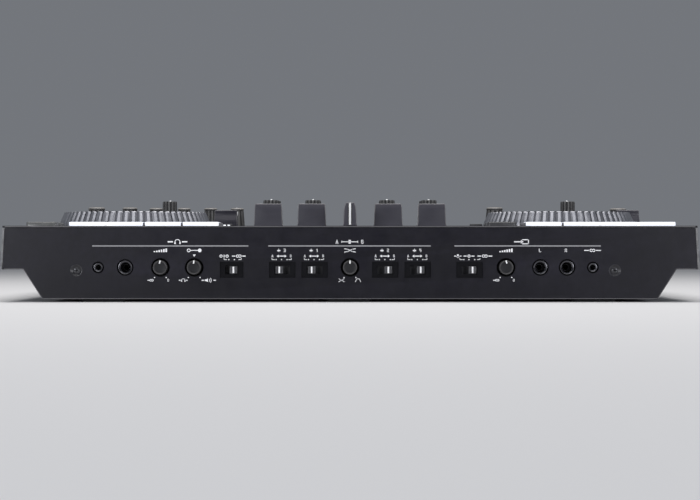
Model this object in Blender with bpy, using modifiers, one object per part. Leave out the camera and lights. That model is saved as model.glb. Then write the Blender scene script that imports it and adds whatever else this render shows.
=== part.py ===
"""A four-channel DJ controller: a low, wide case with two jog-wheel decks, a mixer between them, and a front
panel of sockets, knobs and slide switches.

The frame: +X is the player's right, +Y runs from the front panel to the rear, +Z is up. The origin is on the
table, under the middle of the object. Every moving piece has its origin on its joint's axis.
"""

import math

import bmesh
import bpy

MM = 0.001
GAP = 0.3 * MM  # between pieces that touch on the real object

# The case, seen from the front.
FOOT_HEIGHT = 2.7 * MM
BASE_Z = 3 * MM
WING_Z = 33.3 * MM
DECK_Z = 78 * MM
BASE_HALF_WIDTH = 314.5 * MM
SLANT_HALF_WIDTH = 334 * MM
WING_HALF_WIDTH = 357.5 * MM
DECK_HALF_WIDTH = 355.2 * MM
FRONT_Y = -207 * MM
REAR_Y = 213 * MM
REAR_OVERHANG = 8 * MM

TOP_THICKNESS = 2 * MM
FRONT_THICKNESS = 3 * MM
REAR_THICKNESS = 2.5 * MM
CASE_THICKNESS = 1.2 * MM
CHEEK_THICKNESS = 2 * MM
WALL_TOP_Z = DECK_Z - TOP_THICKNESS - GAP
REAR_PANEL_Y = REAR_Y - REAR_OVERHANG

# The board under the top panel. The pots stand on it, and stems end just above them.
BOARD_TOP_Z = 61.6 * MM
BOARD_THICKNESS = 1.6 * MM
BOARD_HALF_WIDTH = 340 * MM
BOARD_FRONT_Y = -188 * MM
BOARD_REAR_Y = 199 * MM
SLIDER_POT_TOP_Z = 72 * MM
KNOB_POT_TOP_Z = 70 * MM
STEM_CLEARANCE = 0.4 * MM
SLIDER_STEM_END = SLIDER_POT_TOP_Z + STEM_CLEARANCE - DECK_Z
KNOB_STEM_END = KNOB_POT_TOP_Z + STEM_CLEARANCE - DECK_Z

# Decks. A pad's or fader's place is counted from its deck's jog-wheel centre; the keys' are their own.
JOG_X = {"left": -240.5 * MM, "right": 233.8 * MM}
JOG_Y = FRONT_Y + 180 * MM
JOG_RADIUS = 84.3 * MM
JOG_TOP_RADIUS = 78.2 * MM
JOG_HEIGHT = 17 * MM
JOG_TOP_THICKNESS = 3.5 * MM
JOG_BORE_END = JOG_HEIGHT - 4.8 * MM
JOG_BORE_RADIUS = 10.4 * MM
SPINDLE_RADIUS = 10.25 * MM
SPINDLE_TOP = JOG_BORE_END - 0.6 * MM
BEARING_RADIUS = 26 * MM
BEARING_TOP_Z = 9.3 * MM
HUB_RADIUS = 16 * MM
HUB_DEPTH = 12 * MM

PAD_SIZE = (37.3 * MM, 30 * MM)
PAD_PITCH = (39.4 * MM, 33 * MM)
PAD_HEIGHT = 4.3 * MM
PAD_OFFSET_X = 26.5 * MM
PAD_MIDDLE_Y = FRONT_Y + 59.5 * MM
MAT_THICKNESS = 2.2 * MM
MAT_MARGIN = 3 * MM
BUTTON_SIZE = 30 * MM
BUTTON_X = {"left": -321 * MM, "right": 158 * MM}
BUTTON_HEIGHT = 4.3 * MM
FLANGE_MARGIN = 1.1 * MM
FLANGE_TOP = -TOP_THICKNESS - 0.6 * MM
FLANGE_BOTTOM = -TOP_THICKNESS - 2.5 * MM
BUTTON_TRAVEL = 1 * MM
TEMPO_OFFSET_X = 94 * MM
TEMPO_Y = FRONT_Y + 290 * MM
TEMPO_HALF_TRAVEL = 45 * MM

# Mixer.
CHANNEL_X = {"3": -87.5 * MM, "1": -41 * MM, "2": 41 * MM, "4": 87.5 * MM}
CHANNEL_Y = FRONT_Y + 92 * MM
CHANNEL_TRAVEL = 45 * MM
CROSSFADER_Y = FRONT_Y + 52 * MM
CROSSFADER_HALF_TRAVEL = 22.5 * MM
FILTER_Y = FRONT_Y + 158 * MM
SLOT_WIDTH = 4 * MM
MIXER_CAP_HEIGHT = 24.8 * MM
TEMPO_CAP_HEIGHT = 22.2 * MM
STEM_HALF_LENGTH = 4 * MM
STEM_HALF_WIDTH = 1.2 * MM
SLOT_END_ROOM = 1 * MM

# Knobs on the deck: where each stands.
PARAMETER_KNOB_OFFSET = (25.7 * MM, FRONT_Y + 309 * MM)
LOOP_ENCODER_OFFSET = (-61.5 * MM, FRONT_Y + 309 * MM)
EFFECT_ENCODERS = {"left": (-271 * MM, FRONT_Y + 380 * MM), "right": (330 * MM, FRONT_Y + 380 * MM)}
MIC_KNOB_X = (-241 * MM, -206 * MM, -173 * MM, -140 * MM)
MIC_KNOB_Y = FRONT_Y + 400 * MM
KNOB_HOLE_RADIUS = 4.2 * MM
KNOB_STEM_RADIUS = 3 * MM
KNOB_CLEARANCE = 0.9 * MM
KNOB_FLARE = 1.18
FILTER_KNOB = (8.75 * MM, 31.7 * MM)
PARAMETER_KNOB = (8.75 * MM, 34.2 * MM)
LOOP_ENCODER = (9.85 * MM, 26.5 * MM)
LEFT_EFFECT_ENCODER = (9.15 * MM, 28 * MM)
RIGHT_EFFECT_ENCODER = (10 * MM, 27 * MM)
MIC_KNOB = (8.15 * MM, 27.8 * MM)

# Front panel, from left to right.
FRONT_ROW_Z = 35.4 * MM
SCREW_X = {"left": -279.9 * MM, "right": 270.9 * MM}
SCREW_Z = 32.4 * MM
SCREW_HOLE_RADIUS = 1.9 * MM
DIMPLE_DEPTH = 1.3 * MM
DIMPLE_FLOOR_RADIUS = 4.2 * MM
DIMPLE_CONE_RADIUS = 8.5 * MM  # of the cutter, one dimple depth in front of the face
LARGE_JACK_X = {"phones_jack": -229.8 * MM, "aux_jack_left": 194.6 * MM, "aux_jack_right": 221.9 * MM}
MINI_JACK_X = {"phones_mini_jack": -257.4 * MM, "aux_mini_jack": 248.2 * MM}
LARGE_JACK_HOLE_RADIUS = 8.6 * MM
MINI_JACK_HOLE_RADIUS = 6.1 * MM
FRONT_KNOB_X = {
    "phones_level_knob": -193.8 * MM,
    "phones_mix_knob": -159.2 * MM,
    "curve_knob": 0.0,
    "aux_level_knob": 159.4 * MM,
}
FRONT_KNOB_RADIUS = 7.7 * MM
FRONT_KNOB_HOLE_RADIUS = 9.65 * MM
FRONT_KNOB_PROTRUSION = 6 * MM

SWITCH_Z = 32.9 * MM
SWITCH_RECESS_SIZE = (27 * MM, 16.4 * MM)
SWITCH_SLOT_SIZE = (16.1 * MM, 9.7 * MM)
SPLIT_RECESS_SIZE = (24.3 * MM, 16.4 * MM)
SPLIT_SLOT_SIZE = (13.5 * MM, 9.7 * MM)
SWITCH_RECESS_DEPTH = 1.5 * MM
SWITCH_CAP_SIZE = (7.6 * MM, 7.5 * MM)
# Each switch: the middle of its recess and where its cap rests.
SWITCHES = {
    "phones_split_switch": (-120.9 * MM, -119.2 * MM),
    "assign_switch_3": (-69.2 * MM, -72.3 * MM),
    "assign_switch_1": (-36.1 * MM, -39.2 * MM),
    "assign_switch_2": (36.1 * MM, 39.2 * MM),
    "assign_switch_4": (69.2 * MM, 72.3 * MM),
    "aux_mode_switch": (122.2 * MM, 125.3 * MM),
}

FOOT_SIZE = (45 * MM, 25 * MM)
FRONT_FOOT_Y = FRONT_Y + 22 * MM
REAR_FOOT_Y = REAR_Y - 30 * MM
FEET = {
    "front_foot_left": (-253 * MM, FRONT_FOOT_Y),
    "front_foot_middle": (-1 * MM, FRONT_FOOT_Y),
    "front_foot_right": (252 * MM, FRONT_FOOT_Y),
    "rear_foot_left": (-253 * MM, REAR_FOOT_Y),
    "rear_foot_right": (252 * MM, REAR_FOOT_Y),
}

FACING_FRONT = (math.pi / 2, 0, 0)  # turns local +Z to the front and local +Y up
QUARTER_TURN = (0, 0, math.pi / 2)
BOX_FACES = 6


# ---------------------------------------------------------------- scene, collections, materials


def clear_scene():
    for obj in list(bpy.data.objects):
        bpy.data.objects.remove(obj, do_unlink=True)


def new_collection(name, parent):
    collection = bpy.data.collections.new(name)
    parent.children.link(collection)
    return collection


def new_material(name, colour, roughness, metallic=0.0, glow=0.0):
    material = bpy.data.materials.new(name)
    material.use_nodes = True
    shader = material.node_tree.nodes["Principled BSDF"]
    shader.inputs["Base Color"].default_value = (*colour, 1)
    shader.inputs["Roughness"].default_value = roughness
    shader.inputs["Metallic"].default_value = metallic
    shader.inputs["Emission Color"].default_value = (*colour, 1)
    shader.inputs["Emission Strength"].default_value = glow
    return material


clear_scene()
ROOM = bpy.context.scene.collection
PARTS = new_collection("dj_controller", ROOM)
CUTTERS = new_collection("cutters", ROOM)

CASE_BLACK = new_material("case black", (0.030, 0.030, 0.034), 0.45)
CHEEK_GREY = new_material("cheek grey", (0.12, 0.12, 0.13), 0.35)
BLACK_PLASTIC = new_material("black plastic", (0.035, 0.035, 0.040), 0.5)
CAP_BLACK = new_material("fader black", (0.045, 0.045, 0.055), 0.55)
BUTTON_GREY = new_material("button grey", (0.14, 0.15, 0.15), 0.4)
SILVER = new_material("jog silver", (0.55, 0.56, 0.60), 0.3, metallic=0.9)
STEEL = new_material("steel", (0.5, 0.5, 0.5), 0.35, metallic=1.0)
SOCKET_BLACK = new_material("socket black", (0.015, 0.015, 0.018), 0.3)
PAD_WHITE = new_material("pad white", (0.9, 0.9, 0.95), 0.5, glow=1.0)
RUBBER = new_material("foot rubber", (0.02, 0.02, 0.02), 0.8)
BOARD_GREEN = new_material("board green", (0.02, 0.12, 0.05), 0.5)


# ---------------------------------------------------------------- modelling tools


def add_object(name, data, location=(0, 0, 0), rotation=(0, 0, 0), collection=PARTS):
    obj = bpy.data.objects.new(name, data)
    obj.location = location
    obj.rotation_euler = rotation
    collection.objects.link(obj)
    return obj


def mesh_from(bm, name):
    mesh = bpy.data.meshes.new(name)
    bmesh.ops.recalc_face_normals(bm, faces=bm.faces)
    bm.to_mesh(mesh)
    bm.free()
    return mesh


def paint(obj, material):
    obj.data.materials.append(material)
    return obj


def block_mesh(name, size):
    bm = bmesh.new()
    bmesh.ops.create_cube(bm, size=1)
    bmesh.ops.scale(bm, vec=size, verts=bm.verts)
    return mesh_from(bm, name)


def cylinder_mesh(name, radius, depth, segments, end_radius=None):
    bm = bmesh.new()
    end_radius = radius if end_radius is None else end_radius
    bmesh.ops.create_cone(
        bm, cap_ends=True, segments=segments, radius1=radius, radius2=end_radius, depth=depth
    )
    return mesh_from(bm, name)


def stacked(name, sections, material, location=(0, 0, 0), rotation=(0, 0, 0)):
    """A block built by extruding a rectangle upwards; sections are (z, half width, half length)."""
    bm = bmesh.new()
    bmesh.ops.create_grid(bm, x_segments=1, y_segments=1, size=1)
    face = bm.faces[:][0]
    _, width, length = sections[0]
    bmesh.ops.scale(bm, vec=(width, length, 1), verts=face.verts)
    bmesh.ops.translate(bm, vec=(0, 0, sections[0][0]), verts=face.verts)
    for (z, width, length), (z_next, width_next, length_next) in zip(sections, sections[1:]):
        grown = bmesh.ops.extrude_face_region(bm, geom=[face])
        if len(bm.faces) > BOX_FACES:
            bmesh.ops.delete(bm, geom=[face], context="FACES_ONLY")  # the first face stays as the base
        face = [item for item in grown["geom"] if isinstance(item, bmesh.types.BMFace)][0]
        bmesh.ops.scale(bm, vec=(width_next / width, length_next / length, 1), verts=face.verts)
        bmesh.ops.translate(bm, vec=(0, 0, z_next - z), verts=face.verts)
    return paint(add_object(name, mesh_from(bm, name), location, rotation), material)


def turned(name, profile, material, steps, location, rotation=(0, 0, 0)):
    """A piece turned about local Z; profile is (radius, height), down the outer side."""
    bm = bmesh.new()
    points = [bm.verts.new((radius, 0, height)) for radius, height in profile]
    for first, second in zip(points, points[1:]):
        bm.edges.new((first, second))
    mesh = bpy.data.meshes.new(name)
    bm.to_mesh(mesh)
    bm.free()
    obj = paint(add_object(name, mesh, location, rotation), material)
    screw = obj.modifiers.new("turn", "SCREW")
    screw.steps = steps
    screw.render_steps = steps
    screw.use_merge_vertices = True
    screw.merge_threshold = 0.00001
    screw.use_smooth_shade = False
    return obj


def plate(name, outline, thickness, material, location, rotation=(0, 0, 0)):
    """A flat plate: the outline is (x, y) points in local XY, and local Z is its thickness."""
    curve = bpy.data.curves.new(name, "CURVE")
    curve.dimensions = "2D"
    curve.fill_mode = "BOTH"
    curve.extrude = thickness / 2
    spline = curve.splines.new("POLY")
    spline.points.add(len(outline) - 1)
    for point, (x, y) in zip(spline.points, outline):
        point.co = (x, y, 0, 1)
    spline.use_cyclic_u = True
    drawn = add_object(name + "_outline", curve, location, rotation)
    bpy.context.view_layer.update()
    evaluated = drawn.evaluated_get(bpy.context.evaluated_depsgraph_get())
    mesh = bpy.data.meshes.new_from_object(evaluated)
    mesh.name = name
    bm = bmesh.new()
    bm.from_mesh(mesh)
    bmesh.ops.remove_doubles(bm, verts=bm.verts, dist=0.00001)
    bmesh.ops.recalc_face_normals(bm, faces=bm.faces)
    bm.to_mesh(mesh)
    bm.free()
    solid = add_object(name, mesh)
    solid.matrix_world = drawn.matrix_world.copy()
    bpy.data.objects.remove(drawn, do_unlink=True)
    return paint(solid, material)


def group_of_cutters(name):
    group = new_collection(name, CUTTERS)
    group.hide_render = True
    return group


def add_cutter(group, mesh, location, rotation=(0, 0, 0)):
    cutter = add_object(mesh.name, mesh, location, rotation, group)
    cutter.hide_render = True
    cutter.display_type = "WIRE"
    return cutter


def boolean(target, group, operation="DIFFERENCE"):
    modifier = target.modifiers.new(group.name, "BOOLEAN")
    modifier.operation = operation
    modifier.solver = "EXACT"
    modifier.operand_type = "COLLECTION"
    modifier.collection = group


# ---------------------------------------------------------------- where things are on the deck


def deck_knobs():
    """Each knob of the deck: its place, its radius and its height."""
    knobs = {}
    for side, jog_x in JOG_X.items():
        x, y = PARAMETER_KNOB_OFFSET
        knobs[f"parameter_knob_{side}"] = ((jog_x + x, y), *PARAMETER_KNOB)
        x, y = LOOP_ENCODER_OFFSET
        knobs[f"loop_encoder_{side}"] = ((jog_x + x, y), *LOOP_ENCODER)
    knobs["effect_encoder_left"] = (EFFECT_ENCODERS["left"], *LEFT_EFFECT_ENCODER)
    knobs["effect_encoder_right"] = (EFFECT_ENCODERS["right"], *RIGHT_EFFECT_ENCODER)
    for number, x in enumerate(MIC_KNOB_X, 1):
        knobs[f"mic_knob_{number}"] = ((x, MIC_KNOB_Y), *MIC_KNOB)
    for channel, x in CHANNEL_X.items():
        knobs[f"filter_knob_{channel}"] = ((x, FILTER_Y), *FILTER_KNOB)
    return knobs


def fader_slots():
    """Each fader's slot: its middle, and its size along X and Y."""
    slots = {}
    ends = 2 * (STEM_HALF_LENGTH + SLOT_END_ROOM)
    for channel, x in CHANNEL_X.items():
        middle = (x, CHANNEL_Y + CHANNEL_TRAVEL / 2)
        slots[f"channel_slot_{channel}"] = (middle, (SLOT_WIDTH, CHANNEL_TRAVEL + ends))
    for side, jog_x in JOG_X.items():
        middle = (jog_x + TEMPO_OFFSET_X, TEMPO_Y)
        slots[f"tempo_slot_{side}"] = (middle, (SLOT_WIDTH, 2 * TEMPO_HALF_TRAVEL + ends))
    slots["crossfader_slot"] = ((0, CROSSFADER_Y), (2 * CROSSFADER_HALF_TRAVEL + ends, SLOT_WIDTH))
    return slots


def pad_places(side):
    """The middles of the eight pads of one deck."""
    middle_x = JOG_X[side] + PAD_OFFSET_X
    columns = [middle_x + (i - 1.5) * PAD_PITCH[0] for i in range(4)]
    rows = [PAD_MIDDLE_Y - PAD_PITCH[1] / 2, PAD_MIDDLE_Y + PAD_PITCH[1] / 2]
    return [(x, y) for y in rows for x in columns]


def button_places():
    """The transport buttons: play is in the front row, cue is behind it."""
    places = {}
    for side, x in BUTTON_X.items():
        places[f"play_button_{side}"] = (x, PAD_MIDDLE_Y - PAD_PITCH[1] / 2)
        places[f"cue_button_{side}"] = (x, PAD_MIDDLE_Y + PAD_PITCH[1] / 2)
    return places


# ---------------------------------------------------------------- the case


def end_outline():
    """The outline that the front and rear panels share: a flat base, slanted sides and two short wings."""
    right = [
        (BASE_HALF_WIDTH, BASE_Z),
        (SLANT_HALF_WIDTH, WING_Z),
        (WING_HALF_WIDTH - CHEEK_THICKNESS - GAP, WING_Z),
        (DECK_HALF_WIDTH - CHEEK_THICKNESS - GAP, WALL_TOP_Z),
    ]
    return right + [(-x, z) for x, z in reversed(right)]


def make_bottom_case():
    """One folded sheet: the base, the two slanted sides and the undersides of the wings."""
    front = FRONT_Y + FRONT_THICKNESS + GAP
    rear = REAR_PANEL_Y - REAR_THICKNESS - GAP
    wing_end = WING_HALF_WIDTH - CHEEK_THICKNESS - 2 * GAP
    right = [(BASE_HALF_WIDTH, BASE_Z), (SLANT_HALF_WIDTH, WING_Z), (wing_end, WING_Z)]
    fold = [(-x, z) for x, z in reversed(right)] + right
    bm = bmesh.new()
    corners = [bm.verts.new((x, front, z)) for x, z in fold]
    edges = [bm.edges.new(pair) for pair in zip(corners, corners[1:])]
    drawn = bmesh.ops.extrude_edge_only(bm, edges=edges)
    moved = [item for item in drawn["geom"] if isinstance(item, bmesh.types.BMVert)]
    bmesh.ops.translate(bm, vec=(0, rear - front, 0), verts=moved)
    mesh = mesh_from(bm, "bottom_case")
    if mesh.polygons[0].normal.z > 0:
        mesh.flip_normals()
    case = paint(add_object("bottom_case", mesh), CASE_BLACK)
    shell = case.modifiers.new("sheet", "SOLIDIFY")
    shell.thickness = CASE_THICKNESS
    shell.offset = -1
    shell.use_even_offset = True


def make_side_cheeks():
    length = REAR_Y - FRONT_Y
    for side, sign in (("left", -1), ("right", 1)):
        outline = [
            (sign * WING_HALF_WIDTH, WING_Z),
            (sign * DECK_HALF_WIDTH, WALL_TOP_Z),
            (sign * (DECK_HALF_WIDTH - CHEEK_THICKNESS), WALL_TOP_Z),
            (sign * (WING_HALF_WIDTH - CHEEK_THICKNESS), WING_Z),
        ]
        middle_y = (FRONT_Y + REAR_Y) / 2
        plate(f"side_cheek_{side}", outline, length, CHEEK_GREY, (0, middle_y, 0), FACING_FRONT)


def make_front_panel():
    middle_y = FRONT_Y + FRONT_THICKNESS / 2
    panel = plate(
        "front_panel", end_outline(), FRONT_THICKNESS, CASE_BLACK, (0, middle_y, 0), FACING_FRONT
    )
    through = 3 * FRONT_THICKNESS
    recesses = group_of_cutters("front_panel_recesses")
    holes = group_of_cutters("front_panel_holes")

    def bore(name, x, z, radius):
        mesh = cylinder_mesh(name + "_hole", radius, through, 20)
        add_cutter(holes, mesh, (x, middle_y, z), FACING_FRONT)

    for name, x in LARGE_JACK_X.items():
        bore(name, x, FRONT_ROW_Z, LARGE_JACK_HOLE_RADIUS)
    for name, x in MINI_JACK_X.items():
        bore(name, x, FRONT_ROW_Z, MINI_JACK_HOLE_RADIUS)
    for name, x in FRONT_KNOB_X.items():
        bore(name, x, FRONT_ROW_Z, FRONT_KNOB_HOLE_RADIUS)

    for side, x in SCREW_X.items():
        bore(f"front_screw_{side}", x, SCREW_Z, SCREW_HOLE_RADIUS)
        # The cutter is a cone twice as deep as the dimple, with its middle on the face.
        mesh = cylinder_mesh("dimple", DIMPLE_FLOOR_RADIUS, 2 * DIMPLE_DEPTH, 20, DIMPLE_CONE_RADIUS)
        add_cutter(recesses, mesh, (x, FRONT_Y, SCREW_Z), FACING_FRONT)

    for name, (x, _) in SWITCHES.items():
        is_split = name == "phones_split_switch"
        recess = SPLIT_RECESS_SIZE if is_split else SWITCH_RECESS_SIZE
        slot = SPLIT_SLOT_SIZE if is_split else SWITCH_SLOT_SIZE
        mesh = block_mesh(name + "_recess", (recess[0], 2 * SWITCH_RECESS_DEPTH, recess[1]))
        add_cutter(recesses, mesh, (x, FRONT_Y, SWITCH_Z))
        mesh = block_mesh(name + "_slot", (slot[0], through, slot[1]))
        add_cutter(holes, mesh, (x, middle_y, SWITCH_Z))
    boolean(panel, recesses)
    boolean(panel, holes)


def make_rear_panel():
    middle_y = REAR_PANEL_Y - REAR_THICKNESS / 2
    plate("rear_panel", end_outline(), REAR_THICKNESS, CASE_BLACK, (0, middle_y, 0), FACING_FRONT)


def make_top_panel():
    left, right = -DECK_HALF_WIDTH, DECK_HALF_WIDTH
    outline = [(left, FRONT_Y), (right, FRONT_Y), (right, REAR_Y), (left, REAR_Y)]
    middle_z = DECK_Z - TOP_THICKNESS / 2
    panel = plate("top_panel", outline, TOP_THICKNESS, CASE_BLACK, (0, 0, middle_z))
    through = 3 * TOP_THICKNESS
    hub_room = 2 * MM
    holes = group_of_cutters("top_panel_holes")

    def window(name, place, size):
        mesh = block_mesh(name, (*size, through))
        add_cutter(holes, mesh, (*place, middle_z))

    for name, (place, size) in fader_slots().items():
        window(name, place, size)
    for name, place in button_places().items():
        side_length = BUTTON_SIZE + 2 * GAP
        window(name + "_window", place, (side_length, side_length))
    for side, jog_x in JOG_X.items():
        for place in pad_places(side):
            window("pad_window", place, (PAD_SIZE[0] + 2 * GAP, PAD_SIZE[1] + 2 * GAP))
        mesh = cylinder_mesh("hub_hole", HUB_RADIUS + hub_room, through, 24)
        add_cutter(holes, mesh, (jog_x, JOG_Y, middle_z))
    for name, (place, _, _) in deck_knobs().items():
        mesh = cylinder_mesh(name + "_hole", KNOB_HOLE_RADIUS, through, 12)
        add_cutter(holes, mesh, (*place, middle_z))
    boolean(panel, holes)


def make_feet():
    half_width, half_length = FOOT_SIZE[0] / 2, FOOT_SIZE[1] / 2
    taper = 1 * MM
    for name, (x, y) in FEET.items():
        sections = [
            (0, half_width - taper, half_length - taper),
            (1.2 * MM, half_width, half_length),
            (FOOT_HEIGHT, half_width, half_length),
        ]
        stacked(name, sections, RUBBER, (x, y, 0))


def make_front_screws():
    profile = [(0, -0.15), (2.6, -0.15), (3.5, -0.7), (3.5, -1), (1.5, -1), (1.5, -11), (0, -12.2)]
    for side, x in SCREW_X.items():
        points = [(radius * MM, height * MM) for radius, height in profile]
        turned(f"front_screw_{side}", points, STEEL, 12, (x, FRONT_Y, SCREW_Z), FACING_FRONT)


# ---------------------------------------------------------------- inside the case


def make_control_board():
    """The main board with its slide pots, rotary pots, button switches and pad sensors, as one solid."""
    middle_y = (BOARD_FRONT_Y + BOARD_REAR_Y) / 2
    middle_z = BOARD_TOP_Z - BOARD_THICKNESS / 2
    size = (2 * BOARD_HALF_WIDTH, BOARD_REAR_Y - BOARD_FRONT_Y, BOARD_THICKNESS)
    board = add_object("control_board", block_mesh("control_board", size), (0, middle_y, middle_z))
    paint(board, BOARD_GREEN)
    parts = group_of_cutters("board_parts")
    sunk = 0.8 * MM
    knob_pot_size = (10 * MM, 10 * MM)
    key_switch_size = (6 * MM, 6 * MM)
    sensor_inset = 4 * MM
    spindle_room = 4 * MM

    def mount(name, place, size_xy, top):
        bottom = BOARD_TOP_Z - sunk
        mesh = block_mesh(name, (*size_xy, top - bottom))
        add_cutter(parts, mesh, (*place, (top + bottom) / 2))

    pot_margin = 12 * MM
    pot_width = 9 * MM
    for name, (place, (length_x, length_y)) in fader_slots().items():
        along_x = length_x > length_y
        pot = (length_x + pot_margin, pot_width) if along_x else (pot_width, length_y + pot_margin)
        mount(name + "_pot", place, pot, SLIDER_POT_TOP_Z)
    for name, (place, _, _) in deck_knobs().items():
        mount(name + "_pot", place, knob_pot_size, KNOB_POT_TOP_Z)
    key_switch_top = DECK_Z + FLANGE_BOTTOM - BUTTON_TRAVEL - STEM_CLEARANCE
    for name, place in button_places().items():
        mount(name + "_switch", place, key_switch_size, key_switch_top)
    mat_bottom = DECK_Z - TOP_THICKNESS - STEM_CLEARANCE - MAT_THICKNESS
    for side, jog_x in JOG_X.items():
        sensor_size = (4 * PAD_PITCH[0] - sensor_inset, 2 * PAD_PITCH[1] - sensor_inset)
        mount(f"pad_sensor_{side}", (jog_x + PAD_OFFSET_X, PAD_MIDDLE_Y), sensor_size, mat_bottom - GAP)
    boolean(board, parts, "UNION")

    holes = group_of_cutters("board_holes")
    for jog_x in JOG_X.values():
        mesh = cylinder_mesh("spindle_hole", SPINDLE_RADIUS + spindle_room, 4 * BOARD_THICKNESS, 20)
        add_cutter(holes, mesh, (jog_x, JOG_Y, middle_z))
    boolean(board, holes)


def make_jog_bearings():
    flange_top = BEARING_TOP_Z - DECK_Z
    bottom = BASE_Z + CASE_THICKNESS + GAP - DECK_Z
    profile = [
        (0, SPINDLE_TOP),
        (SPINDLE_RADIUS, SPINDLE_TOP),
        (SPINDLE_RADIUS, flange_top),
        (BEARING_RADIUS, flange_top),
        (BEARING_RADIUS, bottom),
        (0, bottom),
    ]
    for side, x in JOG_X.items():
        turned(f"jog_bearing_{side}", profile, STEEL, 20, (x, JOG_Y, DECK_Z))


def make_jacks():
    """Panel sockets: a collar that shows in the panel's hole, a wider body behind it, and a blind bore."""
    large = [(0, -25), (3.3, -25), (3.3, -1.8), (5, -0.6), (7.05, -0.6)]
    large += [(7.05, -3.4), (9.5, -3.4), (9.5, -28), (0, -28)]
    mini = [(0, -15), (1.8, -15), (1.8, -1.2), (2.6, -0.6), (5.2, -0.6)]
    mini += [(5.2, -3.4), (7, -3.4), (7, -18), (0, -18)]
    for places, profile in ((LARGE_JACK_X, large), (MINI_JACK_X, mini)):
        points = [(radius * MM, height * MM) for radius, height in profile]
        for name, x in places.items():
            turned(name, points, SOCKET_BLACK, 16, (x, FRONT_Y, FRONT_ROW_Z), FACING_FRONT)


# ---------------------------------------------------------------- the decks


def make_jog_platters():
    """A wheel with a flared rim that clears the deck, on a long hub."""
    top = JOG_HEIGHT
    under = top - JOG_TOP_THICKNESS
    rim_end = 0.8 * MM
    rim_thickness = 2 * MM
    profile = [
        (0, top),
        (JOG_TOP_RADIUS - 2 * MM, top),
        (JOG_TOP_RADIUS, top - 0.6 * MM),
        (JOG_TOP_RADIUS + 1.2 * MM, top - 2 * MM),
        (JOG_RADIUS - 1.6 * MM, 7.7 * MM),
        (JOG_RADIUS, 2.5 * MM),
        (JOG_RADIUS, rim_end),
        (JOG_RADIUS - rim_thickness, rim_end),
        (JOG_TOP_RADIUS - rim_thickness, under),
        (HUB_RADIUS, under),
        (HUB_RADIUS, -HUB_DEPTH),
        (JOG_BORE_RADIUS, -HUB_DEPTH),
        (JOG_BORE_RADIUS, JOG_BORE_END),
        (0, JOG_BORE_END),
    ]
    for side, x in JOG_X.items():
        turned(f"jog_platter_{side}", profile, SILVER, 40, (x, JOG_Y, DECK_Z))


def make_pad_mats():
    """One silicone sheet a deck, with its eight pads standing through the top panel."""
    sheet_top = DECK_Z - TOP_THICKNESS - STEM_CLEARANCE
    sheet_middle_z = sheet_top - MAT_THICKNESS / 2
    sheet_size = (4 * PAD_PITCH[0] + 2 * MAT_MARGIN, 2 * PAD_PITCH[1] + 2 * MAT_MARGIN, MAT_THICKNESS)
    pad_bottom = sheet_top - MAT_THICKNESS / 2
    pad_top = DECK_Z + PAD_HEIGHT
    for side, jog_x in JOG_X.items():
        name = f"pad_mat_{side}"
        place = (jog_x + PAD_OFFSET_X, PAD_MIDDLE_Y, sheet_middle_z)
        mat = paint(add_object(name, block_mesh(name, sheet_size), place), PAD_WHITE)
        pads = group_of_cutters(name + "_pads")
        for x, y in pad_places(side):
            mesh = block_mesh("pad", (*PAD_SIZE, pad_top - pad_bottom))
            add_cutter(pads, mesh, (x, y, (pad_top + pad_bottom) / 2))
        boolean(mat, pads, "UNION")


def make_buttons():
    """Square keys with a flange under the top panel that keeps them in."""
    half = BUTTON_SIZE / 2
    flange = half + FLANGE_MARGIN
    edge = 0.6 * MM
    sections = [
        (FLANGE_BOTTOM, flange, flange),
        (FLANGE_TOP, flange, flange),
        (FLANGE_TOP, half, half),
        (BUTTON_HEIGHT - edge, half, half),
        (BUTTON_HEIGHT, half - edge, half - edge),
    ]
    for name, (x, y) in button_places().items():
        stacked(name, sections, BUTTON_GREY, (x, y, DECK_Z))


# ---------------------------------------------------------------- faders and knobs


def fader_sections(foot_size, shoulder, top_size, height):
    """A stem through the slot and a tapered cap over it. The sizes are halves; shoulder starts with its z."""
    foot = 0.8 * MM
    edge = 0.8 * MM
    return [
        (SLIDER_STEM_END, STEM_HALF_WIDTH, STEM_HALF_LENGTH),
        (foot, STEM_HALF_WIDTH, STEM_HALF_LENGTH),
        (foot, *foot_size),
        shoulder,
        (height - edge, *top_size),
        (height, top_size[0] - edge, top_size[1] - edge),
    ]


def make_faders():
    shoulder = (19.8 * MM, 14.5 * MM, 6.1 * MM)
    mixer_cap = fader_sections((15.5 * MM, 7.3 * MM), shoulder, (14.2 * MM, 4.8 * MM), MIXER_CAP_HEIGHT)
    waist = (11 * MM, 13.1 * MM, 6.4 * MM)
    tempo_cap = fader_sections((13.5 * MM, 8.5 * MM), waist, (12.9 * MM, 6.4 * MM), TEMPO_CAP_HEIGHT)
    for channel, x in CHANNEL_X.items():
        stacked(f"channel_fader_{channel}", mixer_cap, CAP_BLACK, (x, CHANNEL_Y, DECK_Z))
    stacked("crossfader", mixer_cap, CAP_BLACK, (0, CROSSFADER_Y, DECK_Z), QUARTER_TURN)
    for side, jog_x in JOG_X.items():
        stacked(f"tempo_fader_{side}", tempo_cap, CAP_BLACK, (jog_x + TEMPO_OFFSET_X, TEMPO_Y, DECK_Z))


def tall_profile(radius, height):
    return [
        (0, height),
        (radius - 1 * MM, height),
        (radius, height - 1.2 * MM),
        (radius, KNOB_CLEARANCE),
        (KNOB_STEM_RADIUS, KNOB_CLEARANCE),
        (KNOB_STEM_RADIUS, KNOB_STEM_END),
        (0, KNOB_STEM_END),
    ]


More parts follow.
